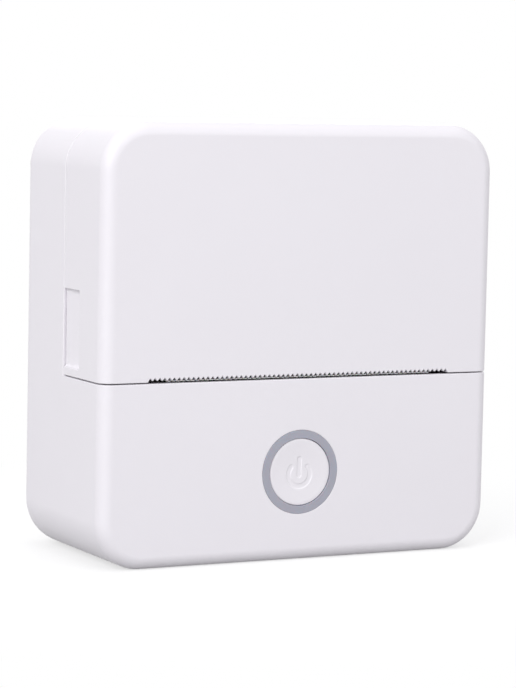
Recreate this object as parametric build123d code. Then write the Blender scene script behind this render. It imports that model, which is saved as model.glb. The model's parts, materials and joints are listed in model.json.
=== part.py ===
from build123d import *
import math
import os

# Pocket thermal printer with a hinged front cover.
# Millimetres. X to the right, -Y to the front, +Z up, origin at the middle of the underside.

# Overall body
WIDTH = 84.0
DEPTH = 40.0
HEIGHT = 84.0
CORNER_R = 9.2
FRONT_EDGE_R = 2.6
REAR_EDGE_R = 5.5
WALL = 2.0

# Fits between the pieces
RUN_FIT = 0.05
MOVE_GAP = 0.3
CLEAR_FIT = 0.1
OVERRUN = 1.0
ROOTED = 0.5

FRONT = -DEPTH / 2
REAR = DEPTH / 2
INNER_X = WIDTH / 2 - WALL
INNER_FRONT = FRONT + WALL
INNER_REAR = REAR - WALL

# Parting line between the housing and the cover
SEAM_SHARE = 0.41905
SEAM_Z = round(HEIGHT * SEAM_SHARE, 2)
SEAM_Y = -1.8
SEAM_GAP = 0.25
COVER_LOW = SEAM_Z + SEAM_GAP

# Cover hinge
HINGE_Y = 0.9
HINGE_BELOW_TOP = 2.2
HINGE_Z = HEIGHT - HINGE_BELOW_TOP
HINGE_SEAM_R = 3.48
KNUCKLE_R = 2.0
KNUCKLE_LENGTH = 4.4
KNUCKLE_FROM_SIDE = 12.5
KNUCKLE_X = WIDTH / 2 - KNUCKLE_FROM_SIDE
HINGE_PIN_R = 0.75
HINGE_EAR_LENGTH = 1.6
HINGE_SIDE_GAP = 0.3
HINGE_NOTCH_GAP = 0.3
HINGE_ARM_REACH = 1.5

# Finger notch in the side edge of the cover
NOTCH_ABOVE_SEAM = 1.8
NOTCH_HEIGHT = 15.0
NOTCH_REACH = 7.6
NOTCH_DEPTH = 1.2
NOTCH_DEPTH_AT_SEAM = 0.35
NOTCH_END_SLOPE = 0.8
NOTCH_R = 0.6

# Paper roll, its bay and its tray
PAPER_FROM_SIDE = 13.5
PAPER_WIDTH = WIDTH - 2 * PAPER_FROM_SIDE
ROLL_ROOM_FRONT = 5.0
ROLL_ROOM_ABOVE = 9.5
ROLL_ROOM_BELOW = 9.3
ROLL_R = min(DEPTH / 2 - ROLL_ROOM_FRONT, (HEIGHT - SEAM_Z - ROLL_ROOM_ABOVE - ROLL_ROOM_BELOW) / 2)
ROLL_Y = 0.5
ROLL_Z = HEIGHT - ROLL_ROOM_ABOVE - ROLL_R
CORE_R = 5.5
CORE_BORE_R = 4.0
TRAY_R = ROLL_R + 1.0
TRAY_WALL = 1.3
TRAY_SIDE_GAP = 0.8
TRAY_Z = ROLL_Z + TRAY_R - ROLL_R - MOVE_GAP
TRAY_LIP_ANGLE = 125.0
TRAY_BACK_ANGLE = 20.0
TRAY_BELOW_HINGE = 7.8
TRAY_END_TOP = HINGE_Z - TRAY_BELOW_HINGE
TRAY_FROM_FRONT = 5.0
TRAY_END_FRONT = INNER_FRONT + TRAY_FROM_FRONT
TRAY_SEAT_Y = SEAM_Y + 0.4
TRAY_FLANGE_THICKNESS = 1.5
TRAY_FLANGE_R = 1.5
TRAY_FLANGE_LOW = ROLL_Z - ROLL_R + 0.5
TRAY_BOSS_R = 2.4
TRAY_BOSS_LENGTH = 6.0
TRAY_BOSS_SPREAD = 10.5
TRAY_BOSS_Z = [ROLL_Z - TRAY_BOSS_SPREAD, ROLL_Z + TRAY_BOSS_SPREAD]
TRAY_BOSS_X = INNER_X - 3.8
SENSOR_SET_BACK = 0.2
SENSOR_WIDTH = 4.4
SENSOR_DEPTH = 2.0
SENSOR_HEIGHT = 2.2

# Paper slot and tear teeth
SLOT_BESIDE_PAPER = 4.0
SLOT_WIDTH = PAPER_WIDTH + 2 * SLOT_BESIDE_PAPER
SLOT_HEIGHT = 1.05
TOOTH_ROOT_BELOW = 0.2
TOOTH_PITCH = 1.0
TOOTH_DEPTH = 0.62
TOOTH_THICKNESS = 0.8
TOOTH_BACKING = 2.0
COVER_LIP_DEPTH = 3.9
COVER_LIP_THICKNESS = 0.9

# Guide under the slot
GUIDE_DEPTH = 2.6
GUIDE_HEIGHT = 3.0
GUIDE_LIP = 1.5
GUIDE_BELOW_SEAM = 0.1
GUIDE_PEG_R = 0.6
GUIDE_PEG_LENGTH = 1.0
GUIDE_PEG_X = SLOT_WIDTH * 0.4

# Paper web
WEB_THICKNESS = 0.12
WEB_GAP = 0.15
TEAR_BEHIND_FACE = 0.1
TEAR_BELOW_TEETH = 0.07
TEAR_DEPTH = 0.6
TEAR_TIP = 0.01

# Power button
BUTTON_BELOW_SEAM = 18.0
BUTTON_Z = SEAM_Z - BUTTON_BELOW_SEAM
RING_R = 8.1
RING_INNER_R = 6.55
RING_FLANGE = 0.9
RING_FLANGE_THICKNESS = 0.8
BUTTON_R = 6.4
BUTTON_RECESS = 0.15
BUTTON_DISH = 0.25
BUTTON_FLANGE_R = 7.4
BUTTON_FLANGE_THICKNESS = 0.6
BUTTON_BACK = INNER_FRONT + BUTTON_FLANGE_THICKNESS + CLEAR_FIT
BUTTON_STEM_R = 1.6

# Platen roller
PLATEN_FROM_FRONT = 7.4
PLATEN_ABOVE_SEAM = 4.8
PLATEN_Y = FRONT + PLATEN_FROM_FRONT
PLATEN_Z = SEAM_Z + PLATEN_ABOVE_SEAM
PLATEN_AT = (PLATEN_Y, PLATEN_Z)
PLATEN_R = 4.0
PLATEN_BESIDE_PAPER = 0.5
PLATEN_LENGTH = PAPER_WIDTH + 2 * PLATEN_BESIDE_PAPER
PLATEN_SHAFT_R = 1.5
SHAFT_CHAMFER = 0.3

# Sheet steel frame
SHEET = 1.2
FRAME_X = PLATEN_LENGTH / 2 + 1.2
FRAME_OUT = FRAME_X + SHEET
FRAME_FRONT = INNER_FRONT + 3.0
FRAME_REAR = INNER_REAR - 4.0
FRAME_BELOW_GEAR = 11.48
FRAME_HIGH = PLATEN_Z + 4.0
FRAME_REAR_HIGH = PLATEN_Z - 4.0
FRAME_WEB_Z = PLATEN_Z - 13.0
FRAME_WEB_FRONT = PLATEN_Y + 2.0
FRAME_WEB_FROM_MOTOR = 1.04
FRAME_FOOT_LENGTH = 7.0
FRAME_FOOT_DEPTH = 8.0
FRAME_FOOT_Y = -4.0
FRAME_FOOT_R = 2.0
FRAME_COLUMN_R = 2.6
MOUTH_CLEAR = 0.25
MOUTH_FLARE = 1.2

# Platen bushes and the holder on the cover
BUSH_R = 2.3
BUSH_FLANGE_R = 3.2
HOLDER_EAR_X = FRAME_OUT + 1.1
HOLDER_EAR_THICKNESS = 1.6
HOLDER_EAR_RIM = 1.5
HOLDER_PLATE_THICKNESS = 1.2
HOLDER_STANDOFF = 2.0
HOLDER_LOW = PLATEN_Z + 6.0
HOLDER_HIGH = PLATEN_Z + 13.0
HOLDER_SCREW_X = 20.0
HOLDER_SCREW_Z = (HOLDER_LOW + HOLDER_HIGH) / 2
COVER_RIB_HEIGHT = 1.6
COVER_RIB_THICKNESS = 1.0

# Print head, in its own axes along its face and out from it
HEAD_ANGLE = 30.0
HEAD_DISTANCE = PLATEN_R + 2 * WEB_GAP + WEB_THICKNESS
HEAD_LENGTH = PLATEN_LENGTH
CERAMIC_THICKNESS = 1.0
CERAMIC_FRONT = 2.5
CERAMIC_REAR = 6.5
DOT_LINE_HEIGHT = 0.05
DOT_LINE_HALF = 0.4
SINK_THICKNESS = 3.0
SINK_REAR = 7.5
SINK_SET_BACK = 0.3
SINK_FIN_COUNT = 9
SINK_FIN_HEIGHT = 1.2
SINK_PLAIN_ENDS = 6.0
HEAD_PIVOT_R = 1.0
HEAD_KNUCKLE_R = 2.0
HEAD_PIVOT_DROP = 3.0

# Leaf spring and ribbon of the head
SPRING_THICKNESS = 0.3
SPRING_FINGER_X = 12.0
SPRING_FINGER_WIDTH = 6.0
RIBBON_WIDTH = 24.0
RIBBON_THICKNESS = 0.2

# Drive
GEAR_MODULE = 0.5
PRESSURE_ANGLE = 20.0
ROOT_FACTOR = 1.2
PINION_TEETH = 10
LARGE_TEETH = 28
SMALL_TEETH = 12
IDLER_TEETH = 20
PLATEN_TEETH = 16
TRAIN_X = FRAME_OUT + 2.9
GEAR_FACE = 1.8
GEAR_STEP = 0.7
GEAR_BACKLASH = 0.12
HUB_WALL = 1.1
POST_R = 0.9
POST_BEYOND_GEAR = 0.6
CLIP_THICKNESS = 0.3
CLIP_RIM = 0.9
CLIP_GAP = 0.15
MOTOR_R = 7.5
MOTOR_LENGTH = 12.0
MOTOR_SHAFT_R = 0.75
MOTOR_FLANGE = 0.8
MOTOR_COLLAR_R = 2.2
MOTOR_BACK_R = 2.4
MOTOR_BACK = 0.6
MOTOR_CHAMFER = 0.6
MOTOR_EAR_TILT = 20.0
MOTOR_EAR_REACH = 2.0
MOTOR_EAR_R = 2.4
MOTOR_FROM_PANEL = 0.46
MOTOR_SHAFT_SUNK = 1.5

# Circuit board
BOARD_FROM_SIDE = 7.0
BOARD_WIDTH = WIDTH - 2 * BOARD_FROM_SIDE
BOARD_LOW = WALL + 2.0
BOARD_HIGH = SEAM_Z - 2.2
BOARD_THICKNESS = 1.2
BOARD_STANDOFF = 3.3
BOARD_CORNER_R = 2.0
BOARD_FRONT = INNER_FRONT + BOARD_STANDOFF
BOARD_REAR = BOARD_FRONT + BOARD_THICKNESS
BOARD_SCREW_X = BOARD_WIDTH / 2 - 3.5
BOARD_SCREW_Z = [BOARD_LOW + 4.5, BOARD_HIGH - 4.0]
BOSS_R = 2.2
RIBBON_SOCKET_TOP = BOARD_HIGH - 3.5
RIBBON_SOCKET_HEIGHT = 3.2
RIBBON_SOCKET_DEPTH = 2.2
POWER_SOCKET_X = BOARD_WIDTH / 2 - 9.4
POWER_SOCKET_Z = BOARD_HIGH - 14.0
POWER_SOCKET_WIDTH = 6.0
POWER_SOCKET_HEIGHT = 4.0
POWER_SOCKET_DEPTH = 3.4

# Push switch behind the button
SWITCH_SIZE = 6.0
SWITCH_HEIGHT = 1.8
SWITCH_CORNER_R = 0.5
PLUNGER_R = 1.3
PLUNGER_GAP = 0.15
STEM_END = BOARD_FRONT - 2.2
PLUNGER_END = BOARD_FRONT - 0.8
LED_WIDTH = 1.6
LED_HEIGHT = 1.0
LED_THICKNESS = 0.6

# Charging socket
USB_WIDTH = 9.0
USB_THICK = 3.2
USB_LENGTH = 7.3
USB_Z = BOARD_LOW + 10.0
USB_WALL_GAP = 0.3
USB_RECESS = 0.5
USB_SHEET = 0.3
USB_TONGUE = 0.7

# Battery
BATTERY_FROM_SIDE = 15.0
BATTERY_WIDTH = WIDTH - 2 * BATTERY_FROM_SIDE
BATTERY_FROM_ENDS = 15.0
BATTERY_DEPTH = DEPTH - BATTERY_FROM_ENDS
BATTERY_BELOW_MOTOR = 24.2
BATTERY_HEIGHT = SEAM_Z - BATTERY_BELOW_MOTOR
BATTERY_Y = INNER_REAR - 2.0 - BATTERY_DEPTH / 2
BATTERY_EDGE_R = 3.0
BATTERY_STRIP = 3.0
BATTERY_PAD = 0.6
BATTERY_RIB_GAP = 0.5
BATTERY_RIB_THICKNESS = 1.2
BATTERY_RIB_HEIGHT = 6.0
LEAD_R = 0.5
LEAD_SPACING = 1.6
LEAD_BEND_R = 2.5
LEAD_SIDES = 8

# Rear panel
PANEL_FROM_EDGE = 6.0
PANEL_WIDTH = WIDTH - 2 * PANEL_FROM_EDGE
PANEL_HEIGHT = HEIGHT - 2 * PANEL_FROM_EDGE
PANEL_CORNER_R = 4.0
PANEL_GAP = 0.2
PANEL_CHAMFER = 0.3
PANEL_LEDGE = 3.0
PANEL_LEDGE_THICKNESS = 1.6
PANEL_SCREW_INSET = 3.2
PANEL_BOSS_R = 2.3
PANEL_BOSS_LENGTH = 5.0

# Small screws
SCREW_R = 0.8
SCREW_HEAD_R = 1.5
SCREW_HEAD_HEIGHT = 0.8
SCREW_LENGTH = 4.0
SCREW_SUNK = 0.2


def along_x(profile, x_from, x_to):
    """Extrude a profile drawn in the side view (y, z) from x_from to x_to."""
    plane = Plane(origin=(x_from, 0, 0), x_dir=(0, 1, 0), z_dir=(1, 0, 0))
    return extrude(plane * profile, amount=x_to - x_from)


def along_y(profile, y_from, y_to):
    """Extrude a profile drawn in the front view (x, z) from y_from to y_to."""
    plane = Plane(origin=(0, y_to, 0), x_dir=(1, 0, 0), z_dir=(0, -1, 0))
    return extrude(plane * profile, amount=y_to - y_from)


def along_z(profile, z_from, z_to):
    """Extrude a profile drawn in the top view (x, y) from z_from to z_to."""
    return extrude(Pos(0, 0, z_from) * profile, amount=z_to - z_from)


def area(points):
    """A face bounded by straight lines through the points."""
    return make_face(Polyline(*points, close=True))


def rod_x(radius, x_from, x_to, y, z):
    return along_x(Pos(y, z) * Circle(radius), x_from, x_to)


def rod_y(radius, y_from, y_to, x, z):
    return along_y(Pos(x, z) * Circle(radius), y_from, y_to)


def rod_z(radius, z_from, z_to, x, y):
    return along_z(Pos(x, y) * Circle(radius), z_from, z_to)


def block(x_from, x_to, y_from, y_to, z_from, z_to):
    size = (x_to - x_from, y_to - y_from, z_to - z_from)
    middle = ((x_from + x_to) / 2, (y_from + y_to) / 2, (z_from + z_to) / 2)
    return Pos(*middle) * Box(*size)


def both_sides(shape):
    """The shape and its mirror image in the middle plane."""
    return shape + mirror(shape, about=Plane.YZ)


def group(shapes):
    """Separate solids kept together in one node."""
    return Compound(children=[solid for shape in shapes for solid in shape.solids()])


def direction(angle_deg, distance, start):
    """The point at a distance and angle from start, in the side view."""
    angle = math.radians(angle_deg)
    return (start[0] + distance * math.cos(angle), start[1] + distance * math.sin(angle))


# Side view places of the drive, each worked out from the one before it.
# The middle pair of gears folds just enough for the motor to clear the rear panel.
IDLER_DIRECTION = -40.0
MOTOR_DIRECTION = -30.0
FIRST_PAIR = GEAR_MODULE * (PLATEN_TEETH + IDLER_TEETH) / 2
MIDDLE_PAIR = GEAR_MODULE * (IDLER_TEETH + SMALL_TEETH) / 2
LAST_PAIR = GEAR_MODULE * (LARGE_TEETH + PINION_TEETH) / 2
IDLER_AT = direction(IDLER_DIRECTION, FIRST_PAIR, PLATEN_AT)
MOTOR_ROOM = INNER_REAR - MOTOR_FROM_PANEL - MOTOR_R - IDLER_AT[0]
MIDDLE_SPAN = min(MIDDLE_PAIR, MOTOR_ROOM - LAST_PAIR * math.cos(math.radians(MOTOR_DIRECTION)))
REDUCTION_DIRECTION = -math.degrees(math.acos(MIDDLE_SPAN / MIDDLE_PAIR))
REDUCTION_AT = direction(REDUCTION_DIRECTION, MIDDLE_PAIR, IDLER_AT)
MOTOR_AT = direction(MOTOR_DIRECTION, LAST_PAIR, REDUCTION_AT)
FRAME_WEB_REAR = MOTOR_AT[0] - MOTOR_R - FRAME_WEB_FROM_MOTOR
FRAME_LOW = REDUCTION_AT[1] - FRAME_BELOW_GEAR


def rounded_body(inset):
    """The whole printer's outer form, moved in by inset on every side."""
    low, high = inset, HEIGHT - inset
    outline = RectangleRounded(WIDTH - 2 * inset, high - low, CORNER_R - inset)
    body = along_y(Pos(0, HEIGHT / 2) * outline, FRONT + inset, REAR - inset)
    rear = body.faces().sort_by(Axis.Y)[-1]
    body = fillet(rear.edges(), REAR_EDGE_R - inset)
    front = body.faces().sort_by(Axis.Y)[0]
    return fillet(front.edges(), max(FRONT_EDGE_R - inset, 0.4))


def cover_region(gap):
    """Side view area on the cover's side of the parting line, grown by gap."""
    far = 2 * HEIGHT
    low = COVER_LOW - gap
    rear = SEAM_Y - SEAM_GAP + gap
    flat = area([(-far, low), (rear, low), (rear, far), (-far, far)])
    above = area([(rear - 0.001, HINGE_Z), (far, HINGE_Z), (far, far), (rear - 0.001, far)])
    barrel = Pos(HINGE_Y, HINGE_Z) * Circle(HINGE_SEAM_R - gap)
    return (flat + above) - barrel - area(
        [(HINGE_Y, HINGE_Z), (far, HINGE_Z), (far, far), (HINGE_Y, far)]
    )


def hinge_spans():
    """The x range of each knuckle, right side, with its two ears."""
    low = KNUCKLE_X - KNUCKLE_LENGTH / 2
    high = KNUCKLE_X + KNUCKLE_LENGTH / 2
    inner_ear = (low - HINGE_SIDE_GAP - HINGE_EAR_LENGTH, low - HINGE_SIDE_GAP)
    outer_ear = (high + HINGE_SIDE_GAP, high + HINGE_SIDE_GAP + HINGE_EAR_LENGTH)
    return (low, high), inner_ear, outer_ear


def shell():
    return rounded_body(0) - rounded_body(WALL)


def hinge_ears():
    """Lugs under the housing's top that hold the hinge pins."""
    _, inner_ear, outer_ear = hinge_spans()
    ears = None
    for low, high in (inner_ear, outer_ear):
        lug = Pos(HINGE_Y, HINGE_Z) * Circle(KNUCKLE_R)
        web = area([
            (HINGE_Y - KNUCKLE_R, HINGE_Z),
            (HINGE_Y + 2 * KNUCKLE_R, HINGE_Z),
            (HINGE_Y + 2 * KNUCKLE_R, HEIGHT - WALL / 2),
            (HINGE_Y, HEIGHT - WALL / 2),
        ])
        ear = along_x(lug + web, low, high)
        ears = ear if ears is None else ears + ear
    return both_sides(ears)


def panel_outline(margin):
    wide = PANEL_WIDTH + 2 * margin
    high = PANEL_HEIGHT + 2 * margin
    return Pos(0, HEIGHT / 2) * RectangleRounded(wide, high, PANEL_CORNER_R + margin)


def panel_screw_places():
    x = PANEL_WIDTH / 2 - PANEL_SCREW_INSET
    z = PANEL_HEIGHT / 2 - PANEL_SCREW_INSET
    return [(sx * x, HEIGHT / 2 + sz * z) for sx in (-1, 1) for sz in (-1, 1)]


def guide_pegs(radius, length):
    """Pegs of the slot guide, or their sockets in the front wall."""
    z = SEAM_Z - GUIDE_BELOW_SEAM - GUIDE_HEIGHT / 2
    return both_sides(rod_y(radius, INNER_FRONT - length, INNER_FRONT, GUIDE_PEG_X, z))


def exit_guide():
    """Black lip under the slot, pegged to the inside of the front wall."""
    top = SEAM_Z - GUIDE_BELOW_SEAM
    rear = INNER_FRONT + GUIDE_DEPTH
    profile = area([
        (INNER_FRONT, top),
        (rear - PANEL_CHAMFER, top),
        (rear, top - PANEL_CHAMFER),
        (rear, top - GUIDE_LIP),
        (INNER_FRONT, top - GUIDE_HEIGHT),
    ])
    lip = along_x(profile, -SLOT_WIDTH / 2, SLOT_WIDTH / 2)
    return lip + guide_pegs(GUIDE_PEG_R, GUIDE_PEG_LENGTH)


def main_housing():
    """Tub with the lower front, the sides, the floor and the rear half of the top."""
    body = shell() - along_x(cover_region(SEAM_GAP), -WIDTH, WIDTH)
    body -= along_y(panel_outline(PANEL_GAP), INNER_REAR - OVERRUN, REAR + OVERRUN)

    inner = Pos(0, HEIGHT / 2) * RectangleRounded(
        WIDTH - 2 * WALL + ROOTED, HEIGHT - 2 * WALL + ROOTED, CORNER_R - WALL + ROOTED / 2
    )
    ledge = inner - panel_outline(-PANEL_LEDGE)
    body += along_y(ledge, INNER_REAR - PANEL_LEDGE_THICKNESS, INNER_REAR)
    for x, z in panel_screw_places():
        body += rod_y(PANEL_BOSS_R, INNER_REAR - PANEL_BOSS_LENGTH, INNER_REAR, x, z)

    body += hinge_ears()
    (low, high), _, _ = hinge_spans()
    notch_rear = HINGE_Y + KNUCKLE_R + HINGE_NOTCH_GAP
    notch = block(low - HINGE_SIDE_GAP, high + HINGE_SIDE_GAP, -DEPTH, notch_rear,
                  HEIGHT - 2 * WALL, HEIGHT + OVERRUN)
    body -= both_sides(notch)
    body -= hinge_pins()

    body -= guide_pegs(GUIDE_PEG_R, GUIDE_PEG_LENGTH)
    body -= rod_y(RING_R, FRONT - OVERRUN, INNER_FRONT + OVERRUN, 0, BUTTON_Z)

    for x in (-BOARD_SCREW_X, BOARD_SCREW_X):
        for z in BOARD_SCREW_Z:
            body += rod_y(BOSS_R, INNER_FRONT - ROOTED, BOARD_FRONT, x, z)
            body -= rod_y(SCREW_R, INNER_FRONT, BOARD_FRONT, x, z)

    for side in (-1, 1):
        for z in TRAY_BOSS_Z:
            boss = rod_y(TRAY_BOSS_R, TRAY_SEAT_Y, TRAY_SEAT_Y + TRAY_BOSS_LENGTH, side * TRAY_BOSS_X, z)
            low_x, high_x = sorted((side * TRAY_BOSS_X, side * (INNER_X + ROOTED)))
            boss += block(low_x, high_x, TRAY_SEAT_Y, TRAY_SEAT_Y + TRAY_BOSS_LENGTH,
                          z - TRAY_BOSS_R, z + TRAY_BOSS_R)
            body += boss
            body -= rod_y(SCREW_R, TRAY_SEAT_Y, TRAY_SEAT_Y + SCREW_LENGTH, side * TRAY_BOSS_X, z)

    for x, y in foot_screw_places():
        body += rod_z(FRAME_COLUMN_R, WALL - ROOTED, FRAME_LOW, x, y)
        body -= rod_z(SCREW_R, FRAME_LOW - SCREW_LENGTH, FRAME_LOW, x, y)

    for side in (-1, 1):
        near = side * (BATTERY_WIDTH / 2 + BATTERY_RIB_GAP)
        low_x, high_x = sorted((near, near + side * BATTERY_RIB_THICKNESS))
        body += block(low_x, high_x, BATTERY_Y - BATTERY_DEPTH / 3, BATTERY_Y + BATTERY_DEPTH / 3,
                      WALL - ROOTED, WALL + BATTERY_RIB_HEIGHT)

    for x, z in panel_screw_places():
        body -= rod_y(SCREW_R, INNER_REAR - SCREW_LENGTH, INNER_REAR, x, z)

    body -= usb_hole()
    return body


def usb_outline(margin):
    return RectangleRounded(USB_THICK + 2 * margin, USB_WIDTH + 2 * margin,
                            (USB_THICK + 2 * margin) / 2 - 0.01)


def usb_hole():
    outline = Pos(BOARD_REAR + USB_THICK / 2, USB_Z) * usb_outline(USB_WALL_GAP)
    return along_x(outline, INNER_X - OVERRUN, WIDTH / 2 + OVERRUN)


def tooth_strip():
    """A row of triangular teeth that point down along the slot."""
    count = round((SLOT_WIDTH - 1) / TOOTH_PITCH)
    root = tooth_tip() + TOOTH_DEPTH
    left = -count * TOOTH_PITCH / 2
    points = [(-SLOT_WIDTH / 2, root + TOOTH_BACKING), (-SLOT_WIDTH / 2, COVER_LOW)]
    for index in range(count):
        start = left + index * TOOTH_PITCH
        points.append((start, root))
        points.append((start + TOOTH_PITCH / 2, root - TOOTH_DEPTH))
    points.append((left + count * TOOTH_PITCH, root))
    points.append((SLOT_WIDTH / 2, COVER_LOW))
    points.append((SLOT_WIDTH / 2, root + TOOTH_BACKING))
    return along_y(area(points), FRONT, FRONT + TOOTH_THICKNESS)


def tooth_tip():
    return COVER_LOW + SLOT_HEIGHT - TOOTH_ROOT_BELOW - TOOTH_DEPTH


def finger_notch():
    """Scoop in the side edge of the cover, shallow at the parting line and deep at the front."""
    side = WIDTH / 2
    front = SEAM_Y - NOTCH_REACH
    plan = area([
        (side + OVERRUN, SEAM_Y + OVERRUN),
        (side - NOTCH_DEPTH_AT_SEAM, SEAM_Y + OVERRUN),
        (side - NOTCH_DEPTH, front + NOTCH_END_SLOPE + NOTCH_R),
        (side - NOTCH_DEPTH, front + NOTCH_END_SLOPE),
        (side + OVERRUN, front - NOTCH_END_SLOPE),
    ])
    low = SEAM_Z + NOTCH_ABOVE_SEAM
    scoop = along_z(plan, low, low + NOTCH_HEIGHT)
    ends = scoop.faces().sort_by(Axis.Z)
    return fillet(ends[0].edges() + ends[-1].edges(), NOTCH_R)


def front_cover():
    """Upper front with its top and side returns, hinge knuckles and tear teeth."""
    body = shell() & along_x(cover_region(0), -WIDTH, WIDTH)
    half = SLOT_WIDTH / 2

    lip_end = half + HOLDER_EAR_RIM
    lip = block(-lip_end, lip_end, INNER_FRONT - ROOTED, FRONT + COVER_LIP_DEPTH,
                COVER_LOW, COVER_LOW + SLOT_HEIGHT + COVER_LIP_THICKNESS)
    body += lip
    body -= block(-half, half, FRONT - OVERRUN, FRONT + COVER_LIP_DEPTH + OVERRUN,
                  COVER_LOW - OVERRUN, COVER_LOW + SLOT_HEIGHT - TOOTH_ROOT_BELOW)
    body += tooth_strip()

    body -= both_sides(finger_notch() & along_x(cover_region(0), 0, WIDTH))

    (low, high), _, _ = hinge_spans()
    reach = HINGE_SEAM_R + HINGE_ARM_REACH
    arm = area([
        (HINGE_Y, HINGE_Z + KNUCKLE_R),
        (HINGE_Y - reach, HINGE_Z + KNUCKLE_R),
        (HINGE_Y - reach, HINGE_Z - WALL / 2),
        (HINGE_Y, HINGE_Z - KNUCKLE_R),
    ])
    knuckle = along_x(arm + Pos(HINGE_Y, HINGE_Z) * Circle(KNUCKLE_R), low, high)
    knuckle -= rod_x(HINGE_PIN_R + RUN_FIT, low - OVERRUN, high + OVERRUN, HINGE_Y, HINGE_Z)
    body += both_sides(knuckle)

    for x in (-HOLDER_SCREW_X, HOLDER_SCREW_X):
        seat = INNER_FRONT + HOLDER_STANDOFF
        body += rod_y(BOSS_R, INNER_FRONT - ROOTED, seat, x, HOLDER_SCREW_Z)
        body -= rod_y(SCREW_R, INNER_FRONT, seat, x, HOLDER_SCREW_Z)

    rib = area([
        (INNER_FRONT - ROOTED, ROLL_Z - COVER_RIB_HEIGHT),
        (INNER_FRONT + COVER_RIB_HEIGHT, ROLL_Z),
        (INNER_FRONT + COVER_RIB_HEIGHT, TRAY_END_TOP - 2 * COVER_RIB_HEIGHT),
        (INNER_FRONT - ROOTED, TRAY_END_TOP),
    ])
    for x in (-HOLDER_SCREW_X, 0, HOLDER_SCREW_X):
        body += along_x(rib, x - COVER_RIB_THICKNESS / 2, x + COVER_RIB_THICKNESS / 2)
    return body


def rear_panel():
    panel = along_y(panel_outline(0), INNER_REAR, REAR)
    outer = panel.faces().sort_by(Axis.Y)[-1]
    panel = chamfer(outer.edges(), PANEL_CHAMFER)
    for x, z in panel_screw_places():
        panel -= rod_y(SCREW_R + CLEAR_FIT, INNER_REAR - OVERRUN, REAR + OVERRUN, x, z)
        panel -= rod_y(SCREW_HEAD_R + 2 * CLEAR_FIT, REAR - SCREW_HEAD_HEIGHT - SCREW_SUNK,
                       REAR + OVERRUN, x, z)
    return panel


def screw_y(x, seat, z, toward):
    """A pan head screw along Y. Its head bears on seat; toward is the head's side."""
    tip = seat - toward * SCREW_LENGTH
    head = seat + toward * SCREW_HEAD_HEIGHT
    low, high = sorted((seat, tip))
    shank = rod_y(SCREW_R, low, high, x, z)
    low, high = sorted((seat, head))
    cap = rod_y(SCREW_HEAD_R, low, high, x, z)
    low, high = sorted((head, head - toward * SCREW_HEAD_HEIGHT / 2))
    drive = along_y(Pos(x, z) * cross_recess(), low, high)
    return shank + cap - drive


def screw_z(x, y, seat):
    shank = rod_z(SCREW_R, seat - SCREW_LENGTH, seat, x, y)
    cap = rod_z(SCREW_HEAD_R, seat, seat + SCREW_HEAD_HEIGHT, x, y)
    top = seat + SCREW_HEAD_HEIGHT
    drive = along_z(Pos(x, y) * cross_recess(), seat + SCREW_HEAD_HEIGHT / 2, top)
    return shank + cap - drive


def cross_recess():
    slot = SCREW_HEAD_R * 1.2
    return Rectangle(slot, slot / 4) + Rectangle(slot / 4, slot)


def rear_panel_screws():
    seat = REAR - SCREW_HEAD_HEIGHT - SCREW_SUNK
    return group([screw_y(x, seat, z, 1) for x, z in panel_screw_places()])


def hinge_pins():
    _, inner_ear, outer_ear = hinge_spans()
    pin = rod_x(HINGE_PIN_R, inner_ear[0], outer_ear[1], HINGE_Y, HINGE_Z)
    return group([pin, mirror(pin, about=Plane.YZ)])


def light_ring():
    ring = rod_y(RING_R, FRONT, INNER_FRONT, 0, BUTTON_Z)
    ring += rod_y(RING_R + RING_FLANGE, INNER_FRONT, INNER_FRONT + RING_FLANGE_THICKNESS, 0, BUTTON_Z)
    ring -= rod_y(RING_INNER_R, FRONT - OVERRUN, INNER_FRONT + OVERRUN, 0, BUTTON_Z)
    ring -= rod_y(BUTTON_FLANGE_R + MOVE_GAP, INNER_FRONT, INNER_FRONT + OVERRUN, 0, BUTTON_Z)
    return ring


def power_button():
    """Dished cap with a retaining flange and a stem that meets the switch."""
    face = FRONT + BUTTON_RECESS
    flange_front = INNER_FRONT + CLEAR_FIT
    cap = rod_y(BUTTON_R, face, flange_front, 0, BUTTON_Z)
    dish_r = (BUTTON_R ** 2 + BUTTON_DISH ** 2) / (2 * BUTTON_DISH)
    dish = Pos(0, face + BUTTON_DISH - dish_r, BUTTON_Z) * Sphere(dish_r)
    cap -= dish
    flange = rod_y(BUTTON_FLANGE_R, flange_front, BUTTON_BACK, 0, BUTTON_Z)
    stem = rod_y(BUTTON_STEM_R, BUTTON_BACK, STEM_END, 0, BUTTON_Z)
    return cap + flange + stem


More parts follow.
